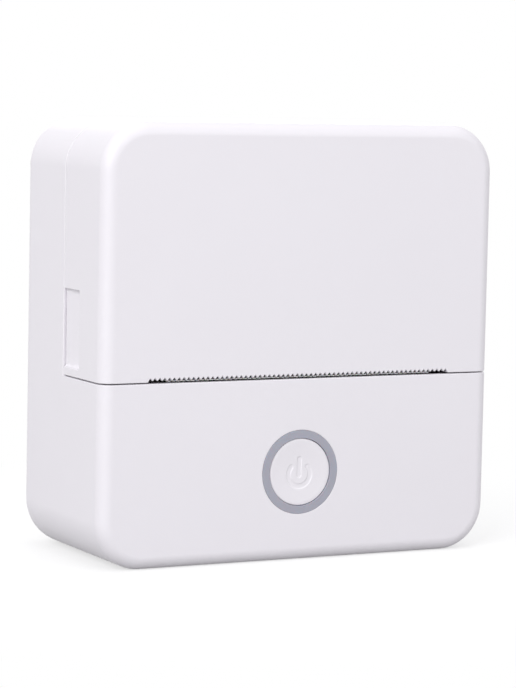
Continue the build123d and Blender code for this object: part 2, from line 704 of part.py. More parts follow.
def roll_tray():
    """Cradle under the roll, end walls and side flanges that screw to the housing."""
    half = PAPER_WIDTH / 2 + TRAY_SIDE_GAP
    out = half + TRAY_WALL
    lip = -TRAY_LIP_ANGLE
    ring = Circle(TRAY_R + TRAY_WALL) - Circle(TRAY_R)
    far = 3 * TRAY_R
    keep = area([
        (0, 0),
        direction(lip, far, (0, 0)),
        (0, -far),
        (far, -far),
        direction(TRAY_BACK_ANGLE, far, (0, 0)),
    ])
    cradle = along_x(Pos(ROLL_Y, TRAY_Z) * (ring & keep), -out, out)

    end_profile = Pos(ROLL_Y, TRAY_Z) * Circle(TRAY_R + TRAY_WALL)
    end_profile &= Pos(TRAY_END_FRONT + far / 2, TRAY_END_TOP - far / 2) * Rectangle(far, far)
    end_wall = along_x(end_profile, half, out)
    flange = block(half, INNER_X - MOVE_GAP, TRAY_SEAT_Y - TRAY_FLANGE_THICKNESS, TRAY_SEAT_Y,
                   TRAY_FLANGE_LOW, TRAY_END_TOP)
    flange = fillet(flange.edges().filter_by(Axis.Y).sort_by(Axis.X)[2:], TRAY_FLANGE_R)
    for z in TRAY_BOSS_Z:
        flange -= rod_y(SCREW_R + CLEAR_FIT, -DEPTH, DEPTH, TRAY_BOSS_X, z)
    return cradle + both_sides(end_wall + flange)


def tray_screws():
    seat = TRAY_SEAT_Y - TRAY_FLANGE_THICKNESS
    return group([screw_y(side * TRAY_BOSS_X, seat, z, -1)
                  for side in (-1, 1) for z in TRAY_BOSS_Z])


def paper_roll():
    roll = rod_x(ROLL_R, -PAPER_WIDTH / 2, PAPER_WIDTH / 2, ROLL_Y, ROLL_Z)
    return roll - rod_x(CORE_R, -PAPER_WIDTH, PAPER_WIDTH, ROLL_Y, ROLL_Z)


def roll_core():
    core = rod_x(CORE_R, -PAPER_WIDTH / 2, PAPER_WIDTH / 2, ROLL_Y, ROLL_Z)
    return core - rod_x(CORE_BORE_R, -PAPER_WIDTH, PAPER_WIDTH, ROLL_Y, ROLL_Z)


def paper_web():
    """Paper from the front of the roll round the platen to its torn edge in the slot."""
    inner_r = PLATEN_R + WEB_GAP
    roll_r = ROLL_R + WEB_GAP
    apart = math.dist((ROLL_Y, ROLL_Z), PLATEN_AT)
    line_angle = math.atan2(ROLL_Z - PLATEN_Z, ROLL_Y - PLATEN_Y)
    cross = math.asin((inner_r + roll_r + WEB_THICKNESS) / apart)
    run_angle = math.degrees(line_angle + cross)
    leave = run_angle - 90
    outer_r = inner_r + WEB_THICKNESS
    arcs = [CenterArc(PLATEN_AT, radius, -90, leave + 90) for radius in (inner_r, outer_r)]
    top_in = direction(leave + 180, roll_r + WEB_THICKNESS, (ROLL_Y, ROLL_Z))
    top_out = direction(leave + 180, roll_r, (ROLL_Y, ROLL_Z))
    tear_y = FRONT + TEAR_BEHIND_FACE
    tear_top = tooth_tip() - TEAR_BELOW_TEETH
    tear_low = tear_top - WEB_THICKNESS
    z_top = PLATEN_Z - inner_r
    z_low = z_top - WEB_THICKNESS
    outline = [
        Line((tear_y, tear_low), (tear_y, tear_top)),
        Line((tear_y, tear_top), (PLATEN_Y, z_top)),
        arcs[0],
        Line(direction(leave, inner_r, PLATEN_AT), top_in),
        Line(top_in, top_out),
        Line(top_out, direction(leave, outer_r, PLATEN_AT)),
        arcs[1],
        Line((PLATEN_Y, z_low), (tear_y, tear_low)),
    ]
    web = along_x(make_face(outline), -PAPER_WIDTH / 2, PAPER_WIDTH / 2)
    count = int(PAPER_WIDTH / TOOTH_PITCH)
    start = -count * TOOTH_PITCH / 2
    beyond = tear_y - OVERRUN
    points = [(-PAPER_WIDTH, beyond)]
    for index in range(count):
        x = start + index * TOOTH_PITCH
        points.append((x, tear_y + TEAR_DEPTH))
        points.append((x + TOOTH_PITCH / 2, tear_y - TEAR_TIP))
    points.append((start + count * TOOTH_PITCH, tear_y + TEAR_DEPTH))
    points.append((PAPER_WIDTH, beyond))
    return web - along_z(area(points), tear_low - OVERRUN, tear_top + OVERRUN)


def paper_sensor():
    """Reflective sensor on the front lip of the tray, facing the paper."""
    lip = direction(-TRAY_LIP_ANGLE, TRAY_R + TRAY_WALL, (ROLL_Y, TRAY_Z))
    front = lip[0] + SENSOR_SET_BACK
    top = lip[1] + CLEAR_FIT
    body = block(-SENSOR_WIDTH / 2, SENSOR_WIDTH / 2, front, front + SENSOR_DEPTH,
                 top - SENSOR_HEIGHT, top)
    return body - rod_x(TRAY_R + TRAY_WALL, -PAPER_WIDTH, PAPER_WIDTH, ROLL_Y, TRAY_Z)


def platen_rubber():
    tube = rod_x(PLATEN_R, -PLATEN_LENGTH / 2, PLATEN_LENGTH / 2, *PLATEN_AT)
    return tube - rod_x(PLATEN_SHAFT_R, -PLATEN_LENGTH, PLATEN_LENGTH, *PLATEN_AT)


def platen_shaft():
    right = HOLDER_EAR_X + HOLDER_EAR_THICKNESS + 2 * SHAFT_CHAMFER
    left = TRAIN_X + GEAR_FACE + SHAFT_CHAMFER + CLEAR_FIT
    shaft = rod_x(PLATEN_SHAFT_R, -left, right, *PLATEN_AT)
    return chamfer(shaft.edges(), SHAFT_CHAMFER)


def gear_profile(teeth, turn_deg):
    """A spur gear's outline with straight sided teeth thinned by the backlash."""
    pitch_r = GEAR_MODULE * teeth / 2
    tip_r = pitch_r + GEAR_MODULE
    root_r = pitch_r - ROOT_FACTOR * GEAR_MODULE
    step = 2 * math.pi / teeth
    half = step / 4 - GEAR_BACKLASH / (2 * pitch_r)
    flank = math.tan(math.radians(PRESSURE_ANGLE)) * GEAR_MODULE / pitch_r
    points = []
    for index in range(teeth):
        middle = index * step + math.radians(turn_deg)
        for radius, spread in (
            (root_r, half + ROOT_FACTOR * flank),
            (tip_r, half - flank),
            (tip_r, flank - half),
            (root_r, -half - ROOT_FACTOR * flank),
        ):
            angle = middle - spread
            points.append((radius * math.cos(angle), radius * math.sin(angle)))
    return area(points)


def gear(teeth, turn_deg, at, x_from, x_to):
    return along_x(Pos(*at) * gear_profile(teeth, turn_deg), x_from, x_to)


def mesh_turns():
    """The turn of each gear that puts its teeth in the gaps of the one before."""
    platen = IDLER_DIRECTION
    idler = IDLER_DIRECTION + 180 + 180 / IDLER_TEETH
    lead = (REDUCTION_DIRECTION - idler) % (360 / IDLER_TEETH)
    small = REDUCTION_DIRECTION + 180 + 180 / SMALL_TEETH + lead * IDLER_TEETH / SMALL_TEETH
    lead = (MOTOR_DIRECTION - small) % (360 / LARGE_TEETH)
    pinion = MOTOR_DIRECTION + 180 + 180 / PINION_TEETH + lead * LARGE_TEETH / PINION_TEETH
    return platen, idler, small, pinion


def drive_planes():
    """The x range of the inner and outer gear planes, on the left side."""
    inner = (-TRAIN_X - GEAR_FACE, -TRAIN_X)
    outer = (inner[0] - GEAR_STEP - GEAR_FACE, inner[0] - GEAR_STEP)
    return inner, outer


def platen_gear():
    inner, _ = drive_planes()
    turn = mesh_turns()[0]
    body = gear(PLATEN_TEETH, turn, PLATEN_AT, *inner)
    return body - rod_x(PLATEN_SHAFT_R, *inner, *PLATEN_AT)


def idler_gear():
    inner, _ = drive_planes()
    body = gear(IDLER_TEETH, mesh_turns()[1], IDLER_AT, *inner)
    body += rod_x(POST_R + HUB_WALL, inner[1], -FRAME_OUT - MOVE_GAP, *IDLER_AT)
    return body - rod_x(POST_R + RUN_FIT, inner[0] - OVERRUN, -FRAME_X, *IDLER_AT)


def reduction_gear():
    inner, outer = drive_planes()
    turn = mesh_turns()[2]
    body = gear(SMALL_TEETH, turn, REDUCTION_AT, outer[1], inner[1])
    body += gear(LARGE_TEETH, turn, REDUCTION_AT, *outer)
    body += rod_x(POST_R + HUB_WALL, inner[1], -FRAME_OUT - MOVE_GAP, *REDUCTION_AT)
    web_r = GEAR_MODULE * LARGE_TEETH / 2 - 3 * GEAR_MODULE
    dish = rod_x(web_r, outer[0], outer[0] + GEAR_FACE / 2, *REDUCTION_AT)
    dish -= rod_x(POST_R + HUB_WALL, outer[0], outer[0] + GEAR_FACE / 2, *REDUCTION_AT)
    body -= dish
    return body - rod_x(POST_R + RUN_FIT, outer[0] - OVERRUN, -FRAME_X, *REDUCTION_AT)


def motor_pinion():
    _, outer = drive_planes()
    body = gear(PINION_TEETH, mesh_turns()[3], MOTOR_AT, outer[0], outer[1] + GEAR_STEP / 2)
    return body - rod_x(MOTOR_SHAFT_R, outer[0] - OVERRUN, 0, *MOTOR_AT)


def motor_shaft():
    _, outer = drive_planes()
    return rod_x(MOTOR_SHAFT_R, outer[0] - 2 * CLEAR_FIT, MOTOR_SHAFT_SUNK - FRAME_X, *MOTOR_AT)


def motor_body():
    """Stepper motor can with its collar and an eared mounting flange."""
    face = -FRAME_X
    back_face = face + MOTOR_LENGTH
    can = rod_x(MOTOR_R, face + MOTOR_FLANGE, back_face, *MOTOR_AT)
    can = chamfer(can.edges().sort_by(Axis.X)[-1], MOTOR_CHAMFER)
    flange = along_x(Pos(*MOTOR_AT) * Circle(MOTOR_R) + motor_ears(0), face, face + MOTOR_FLANGE)
    for at in motor_screw_places():
        flange -= rod_x(SCREW_R, face - OVERRUN, face + MOTOR_FLANGE + OVERRUN, *at)
    collar = rod_x(MOTOR_COLLAR_R, face - SHEET, face, *MOTOR_AT)
    bore = rod_x(MOTOR_SHAFT_R + RUN_FIT, face - SHEET - OVERRUN,
                 face + MOTOR_SHAFT_SUNK + CLEAR_FIT, *MOTOR_AT)
    back = rod_x(MOTOR_BACK_R, back_face, back_face + MOTOR_BACK, *MOTOR_AT)
    return can + flange + collar + back - bore


def motor_ears(margin):
    """Side view outline of the two ears, grown by a margin for the plate behind them."""
    reach = 2 * (MOTOR_R + MOTOR_EAR_REACH + MOTOR_EAR_R + margin)
    ears = SlotOverall(reach, 2 * (MOTOR_EAR_R + margin), rotation=90 - MOTOR_EAR_TILT)
    return Pos(*MOTOR_AT) * ears


def motor_screw_places():
    tilt = 90 - MOTOR_EAR_TILT
    return [direction(tilt + turn, MOTOR_R + MOTOR_EAR_REACH, MOTOR_AT) for turn in (0, 180)]


def motor_screws():
    screws = []
    for at in motor_screw_places():
        head_face = -FRAME_OUT
        screw = rod_x(SCREW_R, head_face, MOTOR_FLANGE - FRAME_X, *at)
        screw += rod_x(SCREW_HEAD_R, head_face - SCREW_HEAD_HEIGHT, head_face, *at)
        screws.append(screw)
    return group(screws)


def gear_posts():
    """Steel posts riveted in the left side plate, one for each loose gear."""
    posts = []
    for at, plane in zip((IDLER_AT, REDUCTION_AT), drive_planes()):
        posts.append(rod_x(POST_R, plane[0] - POST_BEYOND_GEAR, -FRAME_X, *at))
    return group(posts)


def gear_clips():
    """Spring clips that keep the gears on their posts."""
    clips = []
    for at, plane in zip((IDLER_AT, REDUCTION_AT), drive_planes()):
        high = plane[0] - CLIP_GAP
        opening = Pos(POST_R + CLIP_RIM, 0) * Rectangle(2 * (POST_R + CLIP_RIM), POST_R)
        ring = Circle(POST_R + CLIP_RIM) - opening
        clip = along_x(Pos(*at) * ring, high - CLIP_THICKNESS, high)
        clips.append(clip - rod_x(POST_R, high - OVERRUN, high + OVERRUN, *at))
    return group(clips)


def frame_side():
    """Side view outline of one side plate, with the open slot for the platen's bush."""
    nose = FRAME_FRONT
    slot_half = BUSH_R + MOUTH_CLEAR
    outline = area([
        (nose + 3, FRAME_WEB_Z - 1),
        (nose + 2, PLATEN_Z - slot_half - 3),
        (nose, PLATEN_Z - slot_half - 1.5),
        (nose, FRAME_HIGH - 1),
        (nose + 1, FRAME_HIGH),
        (PLATEN_Y + 4.5, FRAME_HIGH),
        (PLATEN_Y + 7, FRAME_REAR_HIGH + 4),
        (FRAME_REAR - 2, FRAME_REAR_HIGH),
        (FRAME_REAR, FRAME_REAR_HIGH - 2),
        (FRAME_REAR, FRAME_LOW + 2),
        (FRAME_REAR - 2, FRAME_LOW),
        (nose + 8, FRAME_LOW),
    ])
    mouth = area([
        (PLATEN_Y, PLATEN_Z - slot_half),
        (nose - OVERRUN, PLATEN_Z - slot_half),
        (nose - OVERRUN, PLATEN_Z + slot_half + MOUTH_FLARE),
        (PLATEN_Y, PLATEN_Z + slot_half),
    ])
    return outline + motor_ears(MOTOR_FLANGE) - mouth - Pos(*PLATEN_AT) * Circle(slot_half)


def mechanism_frame():
    """Bent sheet steel: two side plates, a cross web under the head and four feet."""
    plate = along_x(frame_side(), FRAME_X, FRAME_OUT)
    plate -= rod_x(HEAD_PIVOT_R, 0, WIDTH, *head_pivot_at())
    foot = block(FRAME_X, FRAME_OUT + FRAME_FOOT_LENGTH, FRAME_FOOT_Y, FRAME_FOOT_Y + FRAME_FOOT_DEPTH,
                 FRAME_LOW, FRAME_LOW + SHEET)
    foot = fillet(foot.edges().filter_by(Axis.Z).sort_by(Axis.X)[2:], FRAME_FOOT_R)
    body = both_sides(plate + foot)
    body += block(-FRAME_X - ROOTED, FRAME_X + ROOTED, FRAME_WEB_FRONT, FRAME_WEB_REAR,
                  FRAME_WEB_Z, FRAME_WEB_Z + SHEET)
    for x, y in foot_screw_places():
        body -= rod_z(SCREW_R + CLEAR_FIT, 0, FRAME_LOW + 2 * SHEET, x, y)
    holes = [(at, POST_R) for at in (IDLER_AT, REDUCTION_AT)]
    holes += [(at, SCREW_R) for at in motor_screw_places()]
    holes += [(MOTOR_AT, MOTOR_COLLAR_R)]
    for at, radius in holes:
        body -= rod_x(radius, -FRAME_OUT - OVERRUN, OVERRUN - FRAME_X, *at)
    return body


def foot_screw_places():
    x = FRAME_OUT + FRAME_FOOT_LENGTH / 2
    y = FRAME_FOOT_Y + FRAME_FOOT_DEPTH / 2
    return [(-x, y), (x, y)]


def frame_screws():
    return group([screw_z(x, y, FRAME_LOW + SHEET) for x, y in foot_screw_places()])


def head_point(along, out):
    """A side view point in the head's own axes: along its face and out from it."""
    angle = math.radians(HEAD_ANGLE)
    face_y = PLATEN_Y + HEAD_DISTANCE * math.sin(angle)
    face_z = PLATEN_Z - HEAD_DISTANCE * math.cos(angle)
    y = face_y + along * math.cos(angle) - out * math.sin(angle)
    z = face_z + along * math.sin(angle) + out * math.cos(angle)
    return (y, z)


def head_pivot_at():
    return head_point(SINK_REAR, -HEAD_PIVOT_DROP)


def head_area(low_along, high_along, low_out, high_out):
    return area([
        head_point(low_along, low_out),
        head_point(high_along, low_out),
        head_point(high_along, high_out),
        head_point(low_along, high_out),
    ])


def print_head():
    """Ceramic strip with the raised line of heating dots over the nip."""
    strip = head_area(-CERAMIC_FRONT, CERAMIC_REAR, -CERAMIC_THICKNESS, -DOT_LINE_HEIGHT)
    line = head_area(-DOT_LINE_HALF, DOT_LINE_HALF, -DOT_LINE_HEIGHT, 0)
    return along_x(strip + line, -HEAD_LENGTH / 2, HEAD_LENGTH / 2)


def heat_sink():
    """Aluminium bar behind the ceramic, finned below, with pivot knuckles at its ends."""
    low = -CERAMIC_THICKNESS - SINK_THICKNESS
    bar = head_area(SINK_SET_BACK - CERAMIC_FRONT, SINK_REAR, low, -CERAMIC_THICKNESS)
    body = along_x(bar, -HEAD_LENGTH / 2, HEAD_LENGTH / 2)
    pivot = head_pivot_at()
    body += rod_x(HEAD_KNUCKLE_R, -HEAD_LENGTH / 2, HEAD_LENGTH / 2, *pivot)
    pitch = (HEAD_LENGTH - SINK_PLAIN_ENDS) / SINK_FIN_COUNT
    groove_rear = SINK_REAR - HEAD_KNUCKLE_R - SINK_FIN_HEIGHT
    groove = head_area(-CERAMIC_FRONT - OVERRUN, groove_rear, low - OVERRUN, low + SINK_FIN_HEIGHT)
    for index in range(SINK_FIN_COUNT):
        x = (index - (SINK_FIN_COUNT - 1) / 2) * pitch
        body -= along_x(groove, x - pitch / 4, x + pitch / 4)
    return body - rod_x(HEAD_PIVOT_R + RUN_FIT, -WIDTH, WIDTH, *pivot)


def head_pivot_rod():
    return rod_x(HEAD_PIVOT_R, -FRAME_OUT, FRAME_OUT, *head_pivot_at())


def head_spring():
    """Leaf spring on the web, with two fingers that push the heat sink up."""
    seat = FRAME_WEB_Z + SHEET
    top = seat + SPRING_THICKNESS
    foot_rear = FRAME_WEB_REAR - 0.4
    touch_y, touch_z = head_point(-0.3, -CERAMIC_THICKNESS - SINK_THICKNESS)
    touch_z -= MOVE_GAP
    finger = area([
        (foot_rear - 5.6, seat),
        (foot_rear, seat),
        (foot_rear, top),
        (foot_rear - 5.4, top),
        (touch_y + 0.9, touch_z - 0.1),
        (touch_y - 0.3, touch_z - 0.1),
        (touch_y - 1.0, touch_z - 1.0),
        (touch_y - 0.7, touch_z - 1.2),
        (touch_y - 0.1, touch_z - 0.2 - SPRING_THICKNESS),
        (touch_y + 0.6, touch_z - 0.2 - SPRING_THICKNESS),
    ])
    fingers = both_sides(along_x(finger, SPRING_FINGER_X, SPRING_FINGER_X + SPRING_FINGER_WIDTH))
    joined = SPRING_FINGER_X + ROOTED
    return fingers + block(-joined, joined, foot_rear - 3.2, foot_rear, seat, top)


def head_flex():
    """Flat ribbon from the front of the head down to its connector on the board."""
    top_y, top_z = head_point(-CERAMIC_FRONT, -CERAMIC_THICKNESS)
    y = BOARD_REAR + RIBBON_SOCKET_DEPTH / 2
    half = RIBBON_THICKNESS / 2
    ribbon = area([
        (y, RIBBON_SOCKET_TOP - 0.5),
        (y + RIBBON_THICKNESS, RIBBON_SOCKET_TOP - 0.5),
        (y + RIBBON_THICKNESS, RIBBON_SOCKET_TOP + 1.2),
        (top_y + half, top_z - 1.6),
        (top_y + half, top_z - 0.3),
        (top_y - half, top_z - 0.3),
        (top_y - half, top_z - 1.5),
        (y, RIBBON_SOCKET_TOP + 1.3),
    ])
    return along_x(ribbon, -RIBBON_WIDTH / 2, RIBBON_WIDTH / 2)


def platen_bushes():
    inner = FRAME_X - 0.4
    bush = rod_x(BUSH_R, inner, HOLDER_EAR_X, *PLATEN_AT)
    bush += rod_x(BUSH_FLANGE_R, FRAME_OUT + MOVE_GAP, HOLDER_EAR_X, *PLATEN_AT)
    bush -= rod_x(PLATEN_SHAFT_R + RUN_FIT, 0, WIDTH, *PLATEN_AT)
    return group([bush, mirror(bush, about=Plane.YZ)])


def platen_holder():
    """Plastic bridge on the cover with two ears that carry the platen."""
    plate_front = INNER_FRONT + HOLDER_STANDOFF
    plate_rear = plate_front + HOLDER_PLATE_THICKNESS
    ear_out = HOLDER_EAR_X + HOLDER_EAR_THICKNESS
    body = block(-ear_out, ear_out, plate_front, plate_rear, HOLDER_LOW, HOLDER_HIGH)
    tip = PLATEN_SHAFT_R + HOLDER_EAR_RIM
    profile = area([
        (INNER_FRONT + MOVE_GAP, HOLDER_HIGH),
        (plate_rear, HOLDER_HIGH),
        (PLATEN_Y + tip, PLATEN_Z + 2),
        (PLATEN_Y + tip, PLATEN_Z),
        (PLATEN_Y - tip, PLATEN_Z),
        (INNER_FRONT + MOVE_GAP, PLATEN_Z + 3),
    ])
    ear = along_x(profile + Pos(*PLATEN_AT) * Circle(tip), HOLDER_EAR_X, ear_out)
    ear -= rod_x(PLATEN_SHAFT_R + RUN_FIT, 0, WIDTH, *PLATEN_AT)
    body += both_sides(ear)
    for x in (-HOLDER_SCREW_X, HOLDER_SCREW_X):
        body -= rod_y(SCREW_R + CLEAR_FIT, -DEPTH, DEPTH, x, HOLDER_SCREW_Z)
    return body


def holder_screws():
    seat = INNER_FRONT + HOLDER_STANDOFF + HOLDER_PLATE_THICKNESS
    screws = []
    for x in (-HOLDER_SCREW_X, HOLDER_SCREW_X):
        screw = rod_y(SCREW_R, INNER_FRONT, seat, x, HOLDER_SCREW_Z)
        screw += rod_y(SCREW_HEAD_R, seat, seat + SCREW_HEAD_HEIGHT, x, HOLDER_SCREW_Z)
        screws.append(screw)
    return group(screws)


def circuit_board():
    middle = (BOARD_LOW + BOARD_HIGH) / 2
    outline = Pos(0, middle) * RectangleRounded(BOARD_WIDTH, BOARD_HIGH - BOARD_LOW, BOARD_CORNER_R)
    board = along_y(outline, BOARD_FRONT, BOARD_REAR)
    for x in (-BOARD_SCREW_X, BOARD_SCREW_X):
        for z in BOARD_SCREW_Z:
            board -= rod_y(SCREW_R + CLEAR_FIT, BOARD_FRONT - OVERRUN, BOARD_REAR + OVERRUN, x, z)
    return board


def board_screws():
    screws = []
    for x in (-BOARD_SCREW_X, BOARD_SCREW_X):
        for z in BOARD_SCREW_Z:
            screw = rod_y(SCREW_R, INNER_FRONT, BOARD_REAR, x, z)
            screw += rod_y(SCREW_HEAD_R, BOARD_REAR, BOARD_REAR + SCREW_HEAD_HEIGHT, x, z)
            screws.append(screw)
    return group(screws)


def chip(x, above_button, wide, high, thick):
    z = BUTTON_Z + above_button
    return block(x - wide / 2, x + wide / 2, BOARD_REAR, BOARD_REAR + thick,
                 z - high / 2, z + high / 2)


def board_chips():
    """Components on the rear of the board."""
    processor = chip(-14.0, -1.2, 7.0, 7.0, 0.9)
    memory = chip(-3.0, -1.2, 5.0, 4.0, 0.8)
    motor_driver = chip(-24.0, -3.2, 6.0, 5.0, 1.0)
    coil = chip(6.0, 2.8, 4.0, 4.0, 1.8)
    crystal = chip(-24.0, 4.8, 3.2, 2.5, 1.2)
    return group([processor, memory, motor_driver, coil, crystal])


def board_connectors():
    """Ribbon connector for the head and the two pin connector for the battery."""
    half = RIBBON_WIDTH / 2 + 1.5
    ribbon = block(-half, half, BOARD_REAR, BOARD_REAR + RIBBON_SOCKET_DEPTH,
                   RIBBON_SOCKET_TOP - RIBBON_SOCKET_HEIGHT, RIBBON_SOCKET_TOP)
    mouth = RIBBON_WIDTH / 2 + CLEAR_FIT
    slit = BOARD_REAR + RIBBON_SOCKET_DEPTH / 2
    ribbon -= block(-mouth, mouth, slit - CLEAR_FIT, slit + RIBBON_THICKNESS + CLEAR_FIT,
                    RIBBON_SOCKET_TOP - 2, RIBBON_SOCKET_TOP + OVERRUN)
    wide = POWER_SOCKET_WIDTH / 2
    high = POWER_SOCKET_HEIGHT / 2
    power = block(POWER_SOCKET_X - wide, POWER_SOCKET_X + wide,
                  BOARD_REAR, BOARD_REAR + POWER_SOCKET_DEPTH,
                  POWER_SOCKET_Z - high, POWER_SOCKET_Z + high)
    return group([ribbon, power])


def switch_body():
    half = SWITCH_SIZE / 2
    front = BOARD_FRONT - SWITCH_HEIGHT
    body = block(-half, half, front, BOARD_FRONT, BUTTON_Z - half, BUTTON_Z + half)
    body = fillet(body.edges().filter_by(Axis.Y), SWITCH_CORNER_R)
    return body - rod_y(PLUNGER_R + PLUNGER_GAP, front - OVERRUN, BOARD_FRONT - MOVE_GAP, 0, BUTTON_Z)


def switch_plunger():
    return rod_y(PLUNGER_R, STEM_END, PLUNGER_END, 0, BUTTON_Z)


def status_leds():
    """Four small lamps on the board, behind the ring."""
    leds = []
    radius = (RING_R + RING_INNER_R) / 2
    for quarter in range(4):
        x, z = direction(45 + 90 * quarter, radius, (0, BUTTON_Z))
        leds.append(block(x - LED_WIDTH / 2, x + LED_WIDTH / 2,
                          BOARD_FRONT - LED_THICKNESS, BOARD_FRONT,
                          z - LED_HEIGHT / 2, z + LED_HEIGHT / 2))
    return group(leds)


def usb_socket():
    """Shell of the charging socket on the rear of the board, with its tongue."""
    outer_x = WIDTH / 2 - USB_RECESS
    at = Pos(BOARD_REAR + USB_THICK / 2, USB_Z)
    tube = along_x(at * usb_outline(0), outer_x - USB_LENGTH, outer_x)
    tube -= along_x(at * usb_outline(-USB_SHEET), outer_x - USB_LENGTH + OVERRUN, outer_x + OVERRUN)
    tongue = at * Rectangle(USB_TONGUE, USB_WIDTH - USB_THICK + USB_TONGUE)
    return tube + along_x(tongue, outer_x - USB_LENGTH, outer_x - USB_TONGUE)


def battery_pack():
    """Pouch cell with rounded long edges and its protection strip at the right end."""
    half = BATTERY_WIDTH / 2
    middle = (BATTERY_Y, WALL + BATTERY_PAD + BATTERY_HEIGHT / 2)
    profile = RectangleRounded(BATTERY_DEPTH, BATTERY_HEIGHT, BATTERY_EDGE_R)
    cell = along_x(Pos(*middle) * profile, -half, half - BATTERY_STRIP)
    board = RectangleRounded(BATTERY_DEPTH - BATTERY_STRIP, BATTERY_HEIGHT - 4.0, ROOTED)
    return cell + along_x(Pos(*middle) * board, half - BATTERY_STRIP - ROOTED, half)


def battery_pad():
    reach = BATTERY_WIDTH / 2 - 2 * BATTERY_STRIP
    half = BATTERY_DEPTH / 3
    return block(-reach, reach, BATTERY_Y - half, BATTERY_Y + half, WALL, WALL + BATTERY_PAD)


def battery_leads():
    """Two short wires from the pack's strip up to the connector on the board."""
    start_y = BATTERY_Y - BATTERY_DEPTH / 3
    start_z = WALL + BATTERY_PAD + BATTERY_HEIGHT - 2.0
    end_y = BOARD_REAR + POWER_SOCKET_DEPTH
    leads = []
    for side in (-1, 1):
        x = POWER_SOCKET_X + side * LEAD_SPACING / 2
        points = [(x, start_y, start_z), (x, start_y, POWER_SOCKET_Z), (x, end_y, POWER_SOCKET_Z)]
        path = FilletPolyline(*points, radius=LEAD_BEND_R)
        edge = path.edges()[0]
        profile = Plane(origin=edge @ 0, z_dir=edge % 0) * RegularPolygon(LEAD_R, LEAD_SIDES)
        leads.append(sweep(profile, path=path))
    return group(leads)


NODES = [
    main_housing, front_cover, rear_panel, rear_panel_screws, hinge_pins, exit_guide,
    light_ring, power_button, switch_body, switch_plunger, status_leds,
    roll_tray, tray_screws, paper_roll, roll_core, paper_web, paper_sensor,
    platen_rubber, platen_shaft, platen_gear, platen_bushes, platen_holder, holder_screws,
    mechanism_frame, frame_screws, print_head, heat_sink, head_pivot_rod, head_spring, head_flex,
    motor_body, motor_screws, motor_shaft, motor_pinion, reduction_gear, idler_gear,
    gear_posts, gear_clips,
    circuit_board, board_screws, board_chips, board_connectors, usb_socket,
    battery_pack, battery_pad, battery_leads,
]

os.makedirs("parts", exist_ok=True)
for make in NODES:
    export_step(make(), "parts/" + make.__name__ + ".step")
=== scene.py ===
# %% [markdown]
# # A pocket printer with a hinged front cover
# The printer is a square white box for thermal paper. Its solid model is already packed as a fixed
# frame of named nodes. This lesson dresses that frame: it sets the camera and the light, gives
# every moulded, turned or printed piece its own finish, and remakes the two pieces whose surface
# needs more than the solid model has. Blender's lengths are metres. Where a value is in
# millimetres, its name or its cell says so.

import json
import math
import random

import bmesh
import bpy
from mathutils import Matrix, Vector


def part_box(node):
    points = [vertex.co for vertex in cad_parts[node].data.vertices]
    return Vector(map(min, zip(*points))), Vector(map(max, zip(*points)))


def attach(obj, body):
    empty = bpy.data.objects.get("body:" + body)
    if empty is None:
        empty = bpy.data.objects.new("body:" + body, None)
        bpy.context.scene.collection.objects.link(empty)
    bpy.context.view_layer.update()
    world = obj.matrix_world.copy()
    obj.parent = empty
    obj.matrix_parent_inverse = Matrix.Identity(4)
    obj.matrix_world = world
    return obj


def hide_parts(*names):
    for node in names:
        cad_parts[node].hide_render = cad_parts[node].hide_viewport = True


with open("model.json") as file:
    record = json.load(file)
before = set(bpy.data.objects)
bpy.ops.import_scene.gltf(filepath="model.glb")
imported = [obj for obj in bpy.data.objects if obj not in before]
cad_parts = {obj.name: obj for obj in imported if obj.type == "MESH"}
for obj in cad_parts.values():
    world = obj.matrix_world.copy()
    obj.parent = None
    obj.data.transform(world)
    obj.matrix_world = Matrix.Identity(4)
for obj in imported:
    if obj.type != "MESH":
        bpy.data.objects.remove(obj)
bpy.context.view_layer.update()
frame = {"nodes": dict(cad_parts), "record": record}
nodes = frame["nodes"]
MM = 0.001
print("nodes in the frame:", len(nodes))

# %% [markdown]
# ## The camera
# A product photograph of a small box is taken from far away with a long lens, so its edges stay
# almost parallel. The camera could be placed by eye, but here the box's corners were measured
# first and the camera was solved from them. It looks a little down, from the printer's left. The
# slight roll and the small shift are part of that solution.

# %% Place the camera
CAMERA_YAW = math.radians(-27.112)
CAMERA_PITCH = math.radians(5.258)
CAMERA_ROLL = math.radians(1.176)
CAMERA_DISTANCE = 0.545485
CAMERA_TARGET = Vector((0, 0, 0.042))
SENSOR_MM = 36
FOCAL_PIXELS = 2758.617
PHOTO_WIDE = 516
PHOTO_HIGH = 688
PRINCIPAL_X = 255.569
PRINCIPAL_Y = 334.058
CLIP_START = 0.01

back = Vector((
    math.sin(CAMERA_YAW) * math.cos(CAMERA_PITCH),
    -math.cos(CAMERA_YAW) * math.cos(CAMERA_PITCH),
    math.sin(CAMERA_PITCH),
))
level_right = Vector((math.cos(CAMERA_YAW), math.sin(CAMERA_YAW), 0))
level_up = back.cross(level_right)
camera_x = level_right * math.cos(CAMERA_ROLL) + level_up * math.sin(CAMERA_ROLL)
camera_y = level_up * math.cos(CAMERA_ROLL) - level_right * math.sin(CAMERA_ROLL)

